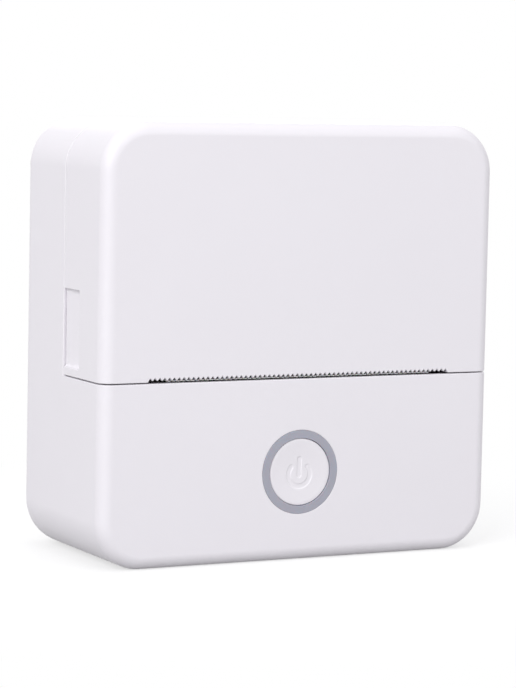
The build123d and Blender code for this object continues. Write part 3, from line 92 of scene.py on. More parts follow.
lens = bpy.data.cameras.new("photo_camera")
lens.sensor_width = SENSOR_MM
lens.lens = FOCAL_PIXELS * SENSOR_MM / PHOTO_HIGH
lens.shift_x = (PHOTO_WIDE / 2 - PRINCIPAL_X) / PHOTO_HIGH
lens.shift_y = (PRINCIPAL_Y - PHOTO_HIGH / 2) / PHOTO_HIGH
lens.clip_start = CLIP_START
camera = bpy.data.objects.new("photo_camera", lens)
place = Matrix((camera_x, camera_y, back)).transposed().to_4x4()
place.translation = CAMERA_TARGET + back * CAMERA_DISTANCE
camera.matrix_world = place
bpy.context.scene.collection.objects.link(camera)
bpy.context.scene.camera = camera
print("lens in mm:", round(lens.lens, 1), "shift:", round(lens.shift_x, 4), round(lens.shift_y, 4))

# %% [markdown]
# ## Small helpers for shader nodes
# Every finish below is made of shader nodes, so nothing depends on a picture file. Nodes could be
# added one call at a time, but each would take four lines. One helper adds a node and fills its
# sockets, either with plain values or with links from other nodes.

# %% The helper that adds a node


def connect(tree, value, socket):
    """Links an output to a socket, or writes a plain value on it."""
    if isinstance(value, bpy.types.NodeSocket):
        tree.links.new(value, socket)
    else:
        socket.default_value = value


def add(tree, kind, settings=None, **inputs):
    """Adds one shader node. In an input's name _ is a space, and n0 is input number 0."""
    made = tree.nodes.new("ShaderNode" + kind)
    for name, value in (settings or {}).items():
        setattr(made, name, value)
    for name, value in inputs.items():
        key = int(name[1:]) if name[0] == "n" and name[1:].isdigit() else name.replace("_", " ")
        connect(tree, value, made.inputs[key])
    return made


print("node helpers: connect, add")

# %% [markdown]
# ## Short names for common steps
# Sums, mixed colours and coordinates come back in every finish. Written out each time, they would
# hide what is special about a finish, so each gets a short helper.

# %% Helpers for common nodes


def math_node(tree, operation, first, second=0.0, clamp=False):
    settings = {"operation": operation, "use_clamp": clamp}
    return add(tree, "Math", settings, n0=first, n1=second).outputs[0]


def mix_colour(tree, factor, first, second):
    mixed = add(tree, "Mix", {"data_type": "RGBA"}, n0=factor, n6=first, n7=second)
    return mixed.outputs[2]


def object_place(tree):
    """Coordinates that stay on the piece when it moves."""
    return add(tree, "TexCoord").outputs["Object"]


def split(tree, vector):
    return add(tree, "SeparateXYZ", None, n0=vector).outputs


def white(value):
    return (value, value, value, 1)


print("short helpers: math_node, mix_colour, object_place, split, white")

# %% [markdown]
# ## Masks
# A mask is a number from 0 to 1 that changes over the surface. A noise rarely fills that range, so
# one helper stretches a part of it to the full range. The other turns a mask into the range that a
# finish wants, such as its dullest and its glossiest value.

# %% Helpers for masks


def remap(tree, value, low, high, to_low, to_high):
    """Turns the range from low to high into the range from to_low to to_high."""
    made = add(tree, "MapRange", None, Value=value, From_Min=low, From_Max=high,
               To_Min=to_low, To_Max=to_high)
    return made.outputs["Result"]


def mask_between(tree, value, low, high):
    """0 where a value is at low, 1 where it is at high."""
    return remap(tree, value, low, high, 0.0, 1.0)


def vary(tree, mask, low, high):
    """From low where a mask is 0, to high where it is 1."""
    return remap(tree, mask, 0.0, 1.0, low, high)


print("mask helpers: remap, mask_between, vary")

# %% [markdown]
# ## Node groups
# Some effects come back in many finishes. Copying their nodes would work, but a node group is
# built once, and each material then only chooses its values. Two helpers open a group with named
# inputs and outputs and place it in a material. A third turns the size of a feature into the scale
# that a texture needs.

# %% Helpers for node groups


def new_group(name, inputs, outputs):
    """A node group. Inputs are (name, kind, value) and outputs are (name, kind)."""
    tree = bpy.data.node_groups.new(name, "ShaderNodeTree")
    for label, kind, value in inputs:
        socket = tree.interface.new_socket(label, in_out="INPUT", socket_type="NodeSocket" + kind)
        socket.default_value = value
    for label, kind in outputs:
        tree.interface.new_socket(label, in_out="OUTPUT", socket_type="NodeSocket" + kind)
    entry = tree.nodes.new("NodeGroupInput")
    leave = tree.nodes.new("NodeGroupOutput")
    return tree, entry.outputs, leave.inputs


def place_group(tree, group, **inputs):
    made = tree.nodes.new("ShaderNodeGroup")
    made.node_tree = group
    for name, value in inputs.items():
        connect(tree, value, made.inputs[name.replace("_", " ")])
    return made.outputs


def features_per_metre(tree, size_mm):
    """A texture's scale, from the size of its features."""
    return math_node(tree, "DIVIDE", 1 / MM, size_mm)


print("group helpers: new_group, place_group, features_per_metre")

# %% [markdown]
# ## Fine grain
# Moulded plastic copies the spark-eroded steel of its mould, as an even grain about a fifth of a
# millimetre wide. Noise alone looks cloudy and cells alone look like scales, so the height is one
# times the other. The mask is the noise only, for small changes of gloss.

# %% Group: fine grain
fine_grain, given, result = new_group(
    "fine_grain",
    [("Size mm", "Float", 0.2), ("Contrast", "Float", 1.0)],
    [("Height", "Float"), ("Mask", "Float")],
)
where = object_place(fine_grain)
rate = features_per_metre(fine_grain, given["Size mm"])
pits = add(fine_grain, "TexNoise", None, Vector=where, Scale=rate, Detail=3.0,
           Roughness=0.6).outputs["Fac"]
cells = add(fine_grain, "TexVoronoi", {"feature": "SMOOTH_F1"}, Vector=where,
            Scale=rate).outputs["Distance"]
connect(fine_grain, math_node(fine_grain, "MULTIPLY", pits, cells), result["Height"])
swing = math_node(fine_grain, "SUBTRACT", pits, 0.5)
swing = math_node(fine_grain, "MULTIPLY", swing, given["Contrast"])
connect(fine_grain, math_node(fine_grain, "ADD", swing, 0.5, clamp=True), result["Mask"])
print("group:", fine_grain.name)

# %% [markdown]
# ## Broad tone
# No surface has one flat colour. Plastic is a little uneven where the melt flowed, metal stains,
# and paper is cloudy. A broad noise fades from the colour to a slightly darker shade, and its size
# says which of these it is.

# %% Group: broad tone
broad_tone, given, result = new_group(
    "broad_tone",
    [("Color", "Color", white(0.8)), ("Shade", "Color", white(0.7)),
     ("Size mm", "Float", 25.0), ("Amount", "Float", 0.5)],
    [("Color", "Color")],
)
rate = features_per_metre(broad_tone, given["Size mm"])
flow = add(broad_tone, "TexNoise", None, Vector=object_place(broad_tone), Scale=rate, Detail=2.0,
           Distortion=0.4).outputs["Fac"]
mask = mask_between(broad_tone, flow, 0.3, 0.7)
amount = math_node(broad_tone, "MULTIPLY", mask, given["Amount"])
shaded = mix_colour(broad_tone, amount, given["Color"], given["Shade"])
connect(broad_tone, shaded, result["Color"])
print("group:", broad_tone.name)

# %% [markdown]
# ## Edge wear and painted highlight
# Handled edges are polished. They could be painted by hand, but a Bevel node finds them: the
# rounded normal that it gives turns away from the true normal only near an edge. A noise breaks the
# line up, because hands don't polish evenly. Where this mask lightens a colour, that is partly wear
# and partly a painted highlight along the edges.

# %% Group: edge wear and painted highlight
EDGE_MASK_GAIN = 12.0
PATCH_SCALE = 400.0
edge_wear_and_highlight, given, result = new_group(
    "edge_wear_and_highlight",
    [("Radius m", "Float", 0.0004), ("Amount", "Float", 1.0)],
    [("Mask", "Float")],
)
round_normal = add(edge_wear_and_highlight, "Bevel", {"samples": 4}, Radius=given["Radius m"]).outputs["Normal"]
flat_normal = add(edge_wear_and_highlight, "NewGeometry").outputs["Normal"]
alike = add(edge_wear_and_highlight, "VectorMath", {"operation": "DOT_PRODUCT"},
            n0=round_normal, n1=flat_normal).outputs["Value"]
away = math_node(edge_wear_and_highlight, "SUBTRACT", 1.0, alike)
patches = add(edge_wear_and_highlight, "TexNoise", None, Vector=object_place(edge_wear_and_highlight), Scale=PATCH_SCALE,
              Detail=2.0).outputs["Fac"]
patches = remap(edge_wear_and_highlight, patches, 0.35, 0.65, 0.4, 1.0)
# This mask marks edges for polish and for a lighter colour: partly wear, partly a painted
# highlight.
rubbed_and_lit = math_node(edge_wear_and_highlight, "MULTIPLY", away, EDGE_MASK_GAIN)
rubbed_and_lit = math_node(edge_wear_and_highlight, "MULTIPLY", rubbed_and_lit, patches)
rubbed_and_lit = math_node(edge_wear_and_highlight, "MULTIPLY", rubbed_and_lit, given["Amount"], clamp=True)
connect(edge_wear_and_highlight, rubbed_and_lit, result["Mask"])
print("group:", edge_wear_and_highlight.name)

# %% [markdown]
# ## Drawn lines
# Rolled sheet, turned shafts, paper fibres and ground rubber all show fine lines one way. A wave
# texture would be too regular. A noise that is pulled long in one direction gives lines of many
# widths and lengths.

# %% Group: drawn lines
drawn_lines, given, result = new_group(
    "drawn_lines",
    [("Stretch", "Vector", (0.05, 1.0, 1.0)), ("Size mm", "Float", 0.1)],
    [("Height", "Float"), ("Mask", "Float")],
)
pulled = add(drawn_lines, "VectorMath", {"operation": "MULTIPLY"},
             n0=object_place(drawn_lines), n1=given["Stretch"]).outputs[0]
rate = features_per_metre(drawn_lines, given["Size mm"])
lines = add(drawn_lines, "TexNoise", None, Vector=pulled, Scale=rate, Detail=4.0).outputs["Fac"]
connect(drawn_lines, lines, result["Height"])
connect(drawn_lines, mask_between(drawn_lines, lines, 0.3, 0.7), result["Mask"])
print("group:", drawn_lines.name)

# %% [markdown]
# ## Settled dust
# Black plastic and rubber show every speck. Dust lies on what faces up, so the normal's height
# says where it may lie, and a fine noise gathers it into specks.

# %% Group: settled dust
SPECK_SCALE = 900.0
settled_dust, given, result = new_group(
    "settled_dust",
    [("Amount", "Float", 0.3)],
    [("Mask", "Float")],
)
normal = add(settled_dust, "NewGeometry").outputs["Normal"]
level = mask_between(settled_dust, split(settled_dust, normal)["Z"], 0.2, 1.0)
specks = add(settled_dust, "TexNoise", None, Vector=object_place(settled_dust),
             Scale=SPECK_SCALE, Detail=5.0, Roughness=0.7).outputs["Fac"]
specks = mask_between(settled_dust, specks, 0.45, 0.75)
lying = math_node(settled_dust, "MULTIPLY", level, specks)
lying = math_node(settled_dust, "MULTIPLY", lying, given["Amount"])
connect(settled_dust, lying, result["Mask"])
print("group:", settled_dust.name)

# %% [markdown]
# ## A material's start and end
# Each finish starts with an empty material and one Principled shader. Constants, such as a metal's
# plain 1 or a coat's weight, go straight on the shader, because only what changes over the surface
# needs nodes.

# %% Helpers that open a material and bend its normals


def new_finish(name, **constants):
    material = bpy.data.materials.new(name)
    material.use_nodes = True
    tree = material.node_tree
    tree.nodes.clear()
    shader = add(tree, "BsdfPrincipled", None, **constants)
    add(tree, "OutputMaterial", None, Surface=shader.outputs[0])
    return material, tree, shader


def feed(tree, shader, **sockets):
    for key, socket in sockets.items():
        connect(tree, socket, shader.inputs[key.replace("_", " ")])


def bumped(tree, height, depth_mm, strength=1.0):
    made = add(tree, "Bump", None, Height=height, Distance=depth_mm * MM, Strength=strength)
    return made.outputs["Normal"]


finishes = {}
print("material helpers: new_finish, feed, bumped")

# %% [markdown]
# ## Satin moulded plastic
# The shell, its button and the inner plastic pieces are injection moulded. The real finish is
# satin: light spreads softly, and only edges and tight curves catch a bright line. One maker
# function serves them all, and each finish names its own colour, grain and gloss.

# %% One maker for moulded finishes
GLOSS_SWING = 0.05
WEAR_POLISH = 0.12


def moulded(name, colour, shade, worn_and_highlight_colour, rough, grain_mm, grain_depth_mm, dust=0.0):
    """Plastic with mould grain, flow tone, polished edges and, where asked, dust. Edges are painted
    lighter, partly as wear and partly as a painted highlight.
    """
    material, tree, shader = new_finish(name, IOR=1.49)
    tone = place_group(tree, broad_tone, Color=(*colour, 1), Shade=(*shade, 1), Amount=0.6)
    grain = place_group(tree, fine_grain, Size_mm=grain_mm)
    rubbed_and_highlit = place_group(tree, edge_wear_and_highlight, Amount=0.8)
    # Edges painted lighter: partly wear, partly a painted highlight.
    skin = mix_colour(tree, rubbed_and_highlit["Mask"], tone["Color"], (*worn_and_highlight_colour, 1))
    if dust:
        lint = place_group(tree, settled_dust, Amount=dust)
        skin = mix_colour(tree, lint["Mask"], skin, white(0.55))
    dull = vary(tree, grain["Mask"], rough - GLOSS_SWING, rough + GLOSS_SWING)
    polish = math_node(tree, "MULTIPLY", rubbed_and_highlit["Mask"], WEAR_POLISH)
    dull = math_node(tree, "SUBTRACT", dull, polish)
    feed(tree, shader, Base_Color=skin, Roughness=dull,
         Normal=bumped(tree, grain["Height"], grain_depth_mm, 0.6))
    return material


# The lighter edge colour of the white shell is partly wear and partly a painted highlight.
finishes["white_plastic"] = moulded(
    "satin_white_plastic", colour=(0.835, 0.811, 0.857), shade=(0.823, 0.797, 0.842),
    worn_and_highlight_colour=(0.87, 0.855, 0.885), rough=0.44, grain_mm=0.22, grain_depth_mm=0.012)
print("shell finish ready")

# %% [markdown]
# ## The other moulded finishes
# The frame pieces inside are matt black, where dust shows. Gears are natural acetal, a milky
# plastic with a slight shine, and the plugs on the board are yellowish nylon. Chip packages are
# moulded too, with a very fine grain.

# %% Black, gear, plug and chip plastic
finishes["black_plastic"] = moulded(
    "matt_black_plastic", colour=(0.022, 0.022, 0.024), shade=(0.032, 0.032, 0.034),
    worn_and_highlight_colour=(0.06, 0.06, 0.062), rough=0.5, grain_mm=0.3, grain_depth_mm=0.03, dust=0.12)
finishes["gear_plastic"] = moulded(
    "acetal_gear_plastic", colour=(0.80, 0.785, 0.72), shade=(0.76, 0.74, 0.67),
    worn_and_highlight_colour=(0.86, 0.85, 0.80), rough=0.3, grain_mm=0.15, grain_depth_mm=0.006)
finishes["connector_white"] = moulded(
    "nylon_connector", colour=(0.80, 0.775, 0.70), shade=(0.74, 0.71, 0.63),
    worn_and_highlight_colour=(0.85, 0.83, 0.77), rough=0.45, grain_mm=0.12, grain_depth_mm=0.008)
finishes["chip_black"] = moulded(
    "chip_package", colour=(0.03, 0.03, 0.034), shade=(0.045, 0.045, 0.05),
    worn_and_highlight_colour=(0.07, 0.07, 0.075), rough=0.55, grain_mm=0.08, grain_depth_mm=0.01)
print("moulded finishes:", len(finishes))

# %% [markdown]
# ## The ring round the button
# The ring is a light guide in tinted plastic. Light scatters inside it, so it looks flat and even,
# with almost no grain. Glass would be too clear for it. A little scattering under an opaque
# surface gives that look.

# %% Light guide finish
RING_COLOUR = (0.386, 0.388, 0.454, 1)
RING_SHADE = (0.371, 0.373, 0.438, 1)
ring_finish, tree, shader = new_finish(
    "tinted_light_guide", IOR=1.49, Subsurface_Weight=0.15, Subsurface_Scale=0.8 * MM)
tone = place_group(tree, broad_tone, Color=RING_COLOUR, Shade=RING_SHADE, Size_mm=6.0, Amount=0.5)
grain = place_group(tree, fine_grain, Size_mm=0.12)
feed(tree, shader, Base_Color=tone["Color"], Roughness=vary(tree, grain["Mask"], 0.33, 0.42),
     Normal=bumped(tree, grain["Height"], 0.005, 0.4))
finishes["ring_plastic"] = ring_finish
print("ring finish ready")

# %% [markdown]
# ## Metals
# The sheet frame is rolled steel, the sink is extruded aluminium, and shafts and screws are turned.
# All show fine lines along the way they were drawn. The lines change both the gloss and the
# direction of the surface, so a highlight breaks into streaks.

# %% Metal finishes
ALONG_X = (0.04, 1.0, 1.0)
ALONG_Z = (1.0, 1.0, 0.04)
EDGE_GAIN = 1.25


def drawn_metal(name, colour, shade, rough, stretch, line_mm, line_depth_mm):
    """Bare metal with drawn lines, faint stains and bright edges, partly wear and partly a painted
    highlight.
    """
    material, tree, shader = new_finish(name, Metallic=1.0)
    stain = place_group(tree, broad_tone, Color=(*colour, 1), Shade=(*shade, 1),
                        Size_mm=4.0, Amount=0.7)
    line = place_group(tree, drawn_lines, Stretch=stretch, Size_mm=line_mm)
    rubbed_and_highlit = place_group(tree, edge_wear_and_highlight, Radius_m=0.2 * MM)
    # Edges painted brighter: partly wear, partly a painted highlight.
    bright = tuple(min(1.0, channel * EDGE_GAIN) for channel in colour)
    skin = mix_colour(tree, rubbed_and_highlit["Mask"], stain["Color"], (*bright, 1))
    feed(tree, shader, Base_Color=skin,
         Roughness=vary(tree, line["Mask"], rough - 0.07, rough + 0.09),
         Normal=bumped(tree, line["Height"], line_depth_mm, 0.5))
    return material


finishes["steel"] = drawn_metal(
    "rolled_steel", colour=(0.56, 0.56, 0.57), shade=(0.48, 0.48, 0.50), rough=0.32,
    stretch=ALONG_Z, line_mm=0.12, line_depth_mm=0.006)
finishes["aluminium"] = drawn_metal(
    "extruded_aluminium", colour=(0.78, 0.785, 0.80), shade=(0.70, 0.705, 0.72), rough=0.38,
    stretch=ALONG_X, line_mm=0.15, line_depth_mm=0.01)
finishes["brass"] = drawn_metal(
    "turned_brass", colour=(0.72, 0.53, 0.24), shade=(0.60, 0.42, 0.18), rough=0.26,
    stretch=ALONG_X, line_mm=0.08, line_depth_mm=0.005)
print("finishes so far:", sorted(finishes))

# %% [markdown]
# ## Rubber
# The platen is ground rubber: dark, dull and slightly velvety, with fine grinding marks round it.
# The marks are drawn lines that are pulled round the roller, and a weak sheen gives the velvet.

# %% Rubber
rubber, tree, shader = new_finish("ground_rubber", Sheen_Weight=0.15, Sheen_Roughness=0.5)
tone = place_group(tree, broad_tone, Color=white(0.022), Shade=white(0.034), Size_mm=5.0)
marks = place_group(tree, drawn_lines, Stretch=(1.0, 0.15, 0.15), Size_mm=0.15)
lint = place_group(tree, settled_dust, Amount=0.15)
feed(tree, shader, Base_Color=mix_colour(tree, lint["Mask"], tone["Color"], white(0.6)),
     Roughness=vary(tree, marks["Mask"], 0.62, 0.8), Normal=bumped(tree, marks["Height"], 0.02))
finishes["rubber_black"] = rubber
print("rubber ready")

# %% [markdown]
# ## Foam
# The pad under the battery is closed-cell foam. Its cells are about half a millimetre wide, so the
# fine grain of the plastics serves here too, larger and deeper.

# %% Foam
foam, tree, shader = new_finish("closed_cell_foam")
grain = place_group(tree, fine_grain, Size_mm=0.5)
tone = place_group(tree, broad_tone, Color=white(0.05), Shade=white(0.08), Size_mm=3.0)
feed(tree, shader, Base_Color=tone["Color"], Roughness=vary(tree, grain["Mask"], 0.85, 1.0),
     Normal=bumped(tree, grain["Height"], 0.2))
finishes["foam"] = foam
print("foam ready")

# %% [markdown]
# ## Battery wires
# The two wires share one node, so one material has to colour both. They run side by side, so
# their place tells them apart: red left of the middle between them, black right of it.

# %% Wire
lead_low, lead_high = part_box("battery_leads")
LEAD_MIDDLE = (lead_low.x + lead_high.x) / 2
WIRE_RED = (0.42, 0.012, 0.012, 1)
wire, tree, shader = new_finish("wire_sleeve", IOR=1.5)
is_right = math_node(tree, "GREATER_THAN", split(tree, object_place(tree))["X"], LEAD_MIDDLE)
sleeve = mix_colour(tree, is_right, WIRE_RED, white(0.02))
grain = place_group(tree, fine_grain, Size_mm=0.3)
feed(tree, shader, Base_Color=mix_colour(tree, grain["Mask"], sleeve, white(0.05)),
     Roughness=vary(tree, grain["Mask"], 0.38, 0.5), Normal=bumped(tree, grain["Height"], 0.01))
finishes["wire"] = wire
print("wire ready, split at x in mm:", round(LEAD_MIDDLE / MM, 2))

# %% [markdown]
# ## Paper
# Thermal paper is smooth and bright, with a faint cloudiness when light comes through its fibres.
# The fibres lie mostly across the web, so the drawn lines are pulled that way. A little scattering
# under the surface softens the shadows on it.

# %% Thermal paper
PAPER_WHITE = (0.90, 0.90, 0.895, 1)
PAPER_CLOUD = (0.86, 0.86, 0.85, 1)
PAPER_BODY = {"IOR": 1.45, "Subsurface_Weight": 0.1, "Subsurface_Scale": 0.4 * MM}
paper, tree, shader = new_finish("thermal_paper", **PAPER_BODY)
tone = place_group(tree, broad_tone, Color=PAPER_WHITE, Shade=PAPER_CLOUD, Size_mm=1.4)
fibre = place_group(tree, drawn_lines, Stretch=(0.35, 1.0, 1.0), Size_mm=0.25)
feed(tree, shader, Base_Color=tone["Color"], Roughness=vary(tree, fibre["Mask"], 0.6, 0.75),
     Normal=bumped(tree, fibre["Height"], 0.01))
finishes["paper"] = paper
print("paper ready")

# %% [markdown]
# ## The wound roll
# The ends of a paper roll show its layers as hundreds of fine rings, some a little apart. Rings in
# the mesh would cost far too many faces. A noise that depends only on the distance from the roll's
# axis gives them, and only faces that look sideways show it.

# %% Wound layers


def axis_of(joint_name):
    """Where a joint's axis lies, in metres."""
    rows = frame["record"]["behaviour"]["joints"]
    return next(row["pos_m"] for row in rows if row["name"] == joint_name)


ROLL_AXIS = axis_of("roll_spin")
LAYERS_PER_M = 4000.0
wound, tree, shader = new_finish("wound_paper", **PAPER_BODY)
from_axis = add(tree, "VectorMath", {"operation": "SUBTRACT"},
                n0=object_place(tree), n1=ROLL_AXIS).outputs[0]
across = add(tree, "VectorMath", {"operation": "MULTIPLY"}, n0=from_axis, n1=(0, 1, 1)).outputs[0]
radius = add(tree, "VectorMath", {"operation": "LENGTH"}, n0=across).outputs["Value"]
layers = add(tree, "TexNoise", {"noise_dimensions": "1D"}, W=radius, Scale=LAYERS_PER_M,
             Detail=6.0, Roughness=0.8).outputs["Fac"]
sideways = split(tree, add(tree, "NewGeometry").outputs["Normal"])["X"]
is_end = mask_between(tree, math_node(tree, "ABSOLUTE", sideways), 0.7, 0.9)
gaps = math_node(tree, "MULTIPLY", mask_between(tree, layers, 0.5, 0.3), is_end)
tone = place_group(tree, broad_tone, Color=PAPER_WHITE, Shade=PAPER_CLOUD, Size_mm=4.0)
feed(tree, shader, Base_Color=mix_colour(tree, gaps, tone["Color"], (0.55, 0.545, 0.53, 1)),
     Roughness=vary(tree, gaps, 0.62, 0.8),
     Normal=bumped(tree, math_node(tree, "MULTIPLY", layers, is_end), 0.1))
finishes["wound_paper"] = wound
print("roll axis in mm:", [round(value / MM, 2) for value in ROLL_AXIS])

# %% [markdown]
# ## Card
# The roll's core is grey-brown card, wound at a slant, so it shows long fibres and one spiral
# joint. A wave texture set diagonally gives the joint, and only its lowest part is drawn.

# %% Card
JOINT_SCALE = 22.0
card, tree, shader = new_finish("grey_card")
fibre = place_group(tree, drawn_lines, Stretch=(0.25, 1.0, 1.0), Size_mm=0.5)
tone = place_group(tree, broad_tone, Color=(0.42, 0.33, 0.22, 1), Shade=(0.30, 0.23, 0.15, 1),
                   Size_mm=2.0, Amount=0.8)
joint = add(tree, "TexWave", {"wave_type": "BANDS", "bands_direction": "DIAGONAL"},
            Vector=object_place(tree), Scale=JOINT_SCALE, Distortion=0.3).outputs["Fac"]
seam = remap(tree, joint, 0.0, 0.05, 1.0, 0.0)
feed(tree, shader, Base_Color=mix_colour(tree, seam, tone["Color"], (0.16, 0.12, 0.08, 1)),
     Roughness=vary(tree, fibre["Mask"], 0.8, 0.95), Normal=bumped(tree, fibre["Height"], 0.06))
finishes["card"] = card
print("card ready")

# %% [markdown]
# ## The circuit board
# The board is green varnish over copper tracks, so the tracks show as a slightly lighter relief.
# Real tracks follow a circuit, but here they only have to look made. A brick pattern with thin
# joints, turned to the plane of the board, gives generic ones.

# %% Board varnish over tracks
BOARD_GREEN = (0.012, 0.10, 0.035, 1)
BOARD_SHADE = (0.010, 0.075, 0.028, 1)
TRACK_GREEN = (0.03, 0.20, 0.06, 1)
TRACK_SCALE = 160.0
board, tree, shader = new_finish("varnished_board", IOR=1.5, Coat_Weight=0.4, Coat_Roughness=0.15)
turned = add(tree, "Mapping", None, Vector=object_place(tree), Rotation=(math.radians(90), 0, 0))
tracks = add(tree, "TexBrick", {"offset": 0.37},
             Vector=turned.outputs[0], Scale=TRACK_SCALE, Mortar_Size=0.035, Mortar_Smooth=0.1,
             Brick_Width=0.9, Row_Height=0.14, Color1=white(0.0), Color2=white(0.0),
             Mortar=white(1.0))
copper = mask_between(tree, tracks.outputs["Color"], 0.0, 1.0)
tone = place_group(tree, broad_tone, Color=BOARD_GREEN, Shade=BOARD_SHADE, Size_mm=9.0)
feed(tree, shader, Base_Color=mix_colour(tree, copper, tone["Color"], TRACK_GREEN),
     Roughness=vary(tree, copper, 0.34, 0.26), Normal=bumped(tree, copper, 0.03))
finishes["board_green"] = board
print("board ready")

# %% [markdown]
# ## The print head's ceramic
# The head is a ceramic strip under a thin glaze. A coat layer on the shader is that glaze, so the
# grain below it can stay duller than the surface.

# %% Glazed ceramic
ceramic, tree, shader = new_finish("glazed_ceramic", IOR=1.6, Coat_Weight=0.6, Coat_Roughness=0.08)
tone = place_group(tree, broad_tone, Color=(0.66, 0.64, 0.60, 1), Shade=(0.58, 0.56, 0.53, 1),
                   Size_mm=3.0)
grain = place_group(tree, fine_grain, Size_mm=0.25)
feed(tree, shader, Base_Color=tone["Color"], Roughness=vary(tree, grain["Mask"], 0.22, 0.34),
     Normal=bumped(tree, grain["Height"], 0.006))
finishes["ceramic"] = ceramic
print("ceramic ready")

# %% [markdown]
# ## The head's ribbon
# The ribbon is amber film over copper lines, one beside the other. A wave across the ribbon gives
# the lines, and a narrow cut through its middle makes them as sharp as etched copper.

# %% Amber film
STRAND_SCALE = 310.0
ribbon, tree, shader = new_finish("amber_film", IOR=1.6, Coat_Weight=0.3, Coat_Roughness=0.2)
strands = add(tree, "TexWave", {"wave_type": "BANDS", "bands_direction": "X"},
              Vector=object_place(tree), Scale=STRAND_SCALE).outputs["Fac"]
line = mask_between(tree, strands, 0.45, 0.55)
tone = place_group(tree, broad_tone, Color=(0.50, 0.20, 0.03, 1), Shade=(0.42, 0.16, 0.02, 1),
                   Size_mm=4.0)
feed(tree, shader, Base_Color=mix_colour(tree, line, tone["Color"], (0.62, 0.32, 0.08, 1)),
     Roughness=vary(tree, line, 0.36, 0.28), Normal=bumped(tree, line, 0.01))
finishes["flex_amber"] = ribbon
print("ribbon ready")

# %% [markdown]
# ## The battery's foil
# The battery is a soft pouch of coated aluminium foil. It is neither bare metal nor plain plastic,
# so its metallic value changes a little over the surface, with creases of a few millimetres.

# %% Battery foil
pouch, tree, shader = new_finish("battery_foil", Coat_Weight=0.2, Coat_Roughness=0.3)
grain = place_group(tree, fine_grain, Size_mm=3.0, Contrast=1.5)
tone = place_group(tree, broad_tone, Color=(0.50, 0.51, 0.54, 1), Shade=(0.42, 0.43, 0.46, 1),
                   Size_mm=8.0)
feed(tree, shader, Base_Color=tone["Color"], Roughness=vary(tree, grain["Mask"], 0.32, 0.46),
     Metallic=vary(tree, grain["Mask"], 0.55, 0.7), Normal=bumped(tree, grain["Height"], 0.2))
finishes["battery_foil"] = pouch
print("finishes:", len(finishes))

# %% [markdown]
# ## Weld the solid nodes
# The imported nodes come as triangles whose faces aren't joined to each other. Joining them by hand
# would change the mesh, which has to stay as it was packed. A geometry node tree does it on the
# fly: it drops the stored normals, welds the corners that meet and shades the faces smooth.

# %% A node tree that welds and smooths
WELD_REACH = 0.002 * MM
weld_and_smooth = bpy.data.node_groups.new("weld_and_smooth", "GeometryNodeTree")
for side in ("INPUT", "OUTPUT"):
    weld_and_smooth.interface.new_socket("Geometry", in_out=side,
                                         socket_type="NodeSocketGeometry")
steps = [weld_and_smooth.nodes.new(kind) for kind in (
    "NodeGroupInput", "GeometryNodeRemoveAttribute", "GeometryNodeMergeByDistance",
    "GeometryNodeSetShadeSmooth", "NodeGroupOutput")]
forget, merge = steps[1:3]
forget.inputs["Name"].default_value = "custom_normal"
merge.inputs["Distance"].default_value = WELD_REACH
for before, after in zip(steps, steps[1:]):
    weld_and_smooth.links.new(before.outputs[0], after.inputs[0])
print("modifier tree:", weld_and_smooth.name, "with", len(steps), "nodes")

# %% [markdown]
# ## How round each edge is
# Real moulded and stamped edges are never perfectly sharp, and it is the tiny round on an edge
# that catches the light. Large moulded pieces have the largest rounds, and small ones share one.
# The record of the pack says which finish each node has.

# %% Edge rounds and finishes of the nodes
EDGE_ROUNDS_MM = {
    "main_housing": 0.2,
    "front_cover": 0.14,
    "rear_panel": 0.12,
    "light_ring": 0.08,
    "roll_tray": 0.15,
    "platen_holder": 0.12,
}
SMALL_ROUND_MM = 0.05
finish_of = {row["node"]: row["material_slot"] for row in frame["record"]["subparts"]}
finish_of["paper_roll"] = "wound_paper"
print("nodes with their own edge round:", len(EDGE_ROUNDS_MM))

# %% [markdown]
# ## Dress the solid nodes
# After the weld, a planar Decimate joins the thin triangles of each flat, a Bevel rounds what is
# still sharp, and weighted normals keep flats flat. Edges could be rounded in the solid model, but
# a modifier does it for every node at once. Without the joined flats, the Bevel would fold the
# slivers between two screw holes into a dark line.

# %% Modifiers and finishes on every node
SHARP_ANGLE = math.radians(38)
FLAT_ANGLE = math.radians(0.2)


def dress(name):
    """Welds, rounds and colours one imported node."""
    piece = nodes[name]
    weld = piece.modifiers.new("weld", "NODES")
    weld.node_group = weld_and_smooth
    joined = piece.modifiers.new("join_flats", "DECIMATE")
    joined.decimate_type = "DISSOLVE"
    joined.angle_limit = FLAT_ANGLE
    rounding = piece.modifiers.new("edge_round", "BEVEL")
    rounding.width = EDGE_ROUNDS_MM.get(name, SMALL_ROUND_MM) * MM
    rounding.segments = 2
    rounding.limit_method = "ANGLE"
    rounding.angle_limit = SHARP_ANGLE
    rounding.use_clamp_overlap = False
    rounding.miter_outer = "MITER_ARC"
    even = piece.modifiers.new("even_normals", "WEIGHTED_NORMAL")
    even.keep_sharp = True
    for slot in piece.material_slots:
        slot.material = finishes[finish_of[name]]


for name in sorted(nodes):
    dress(name)
print("dressed nodes:", len(nodes))

# %% [markdown]
# ## The power button
# The cap is a shallow dish with the usual power sign sunk into it: a ring open at the top and a
# bar. A sign drawn in the material would vanish from the mesh, so it is sunk in real depth. For
# every point of the face, the distance to the nearest stroke says how deep it lies, and the depth
# fades smoothly at the stroke's sides. That needs no cutting, only close enough rings of points.

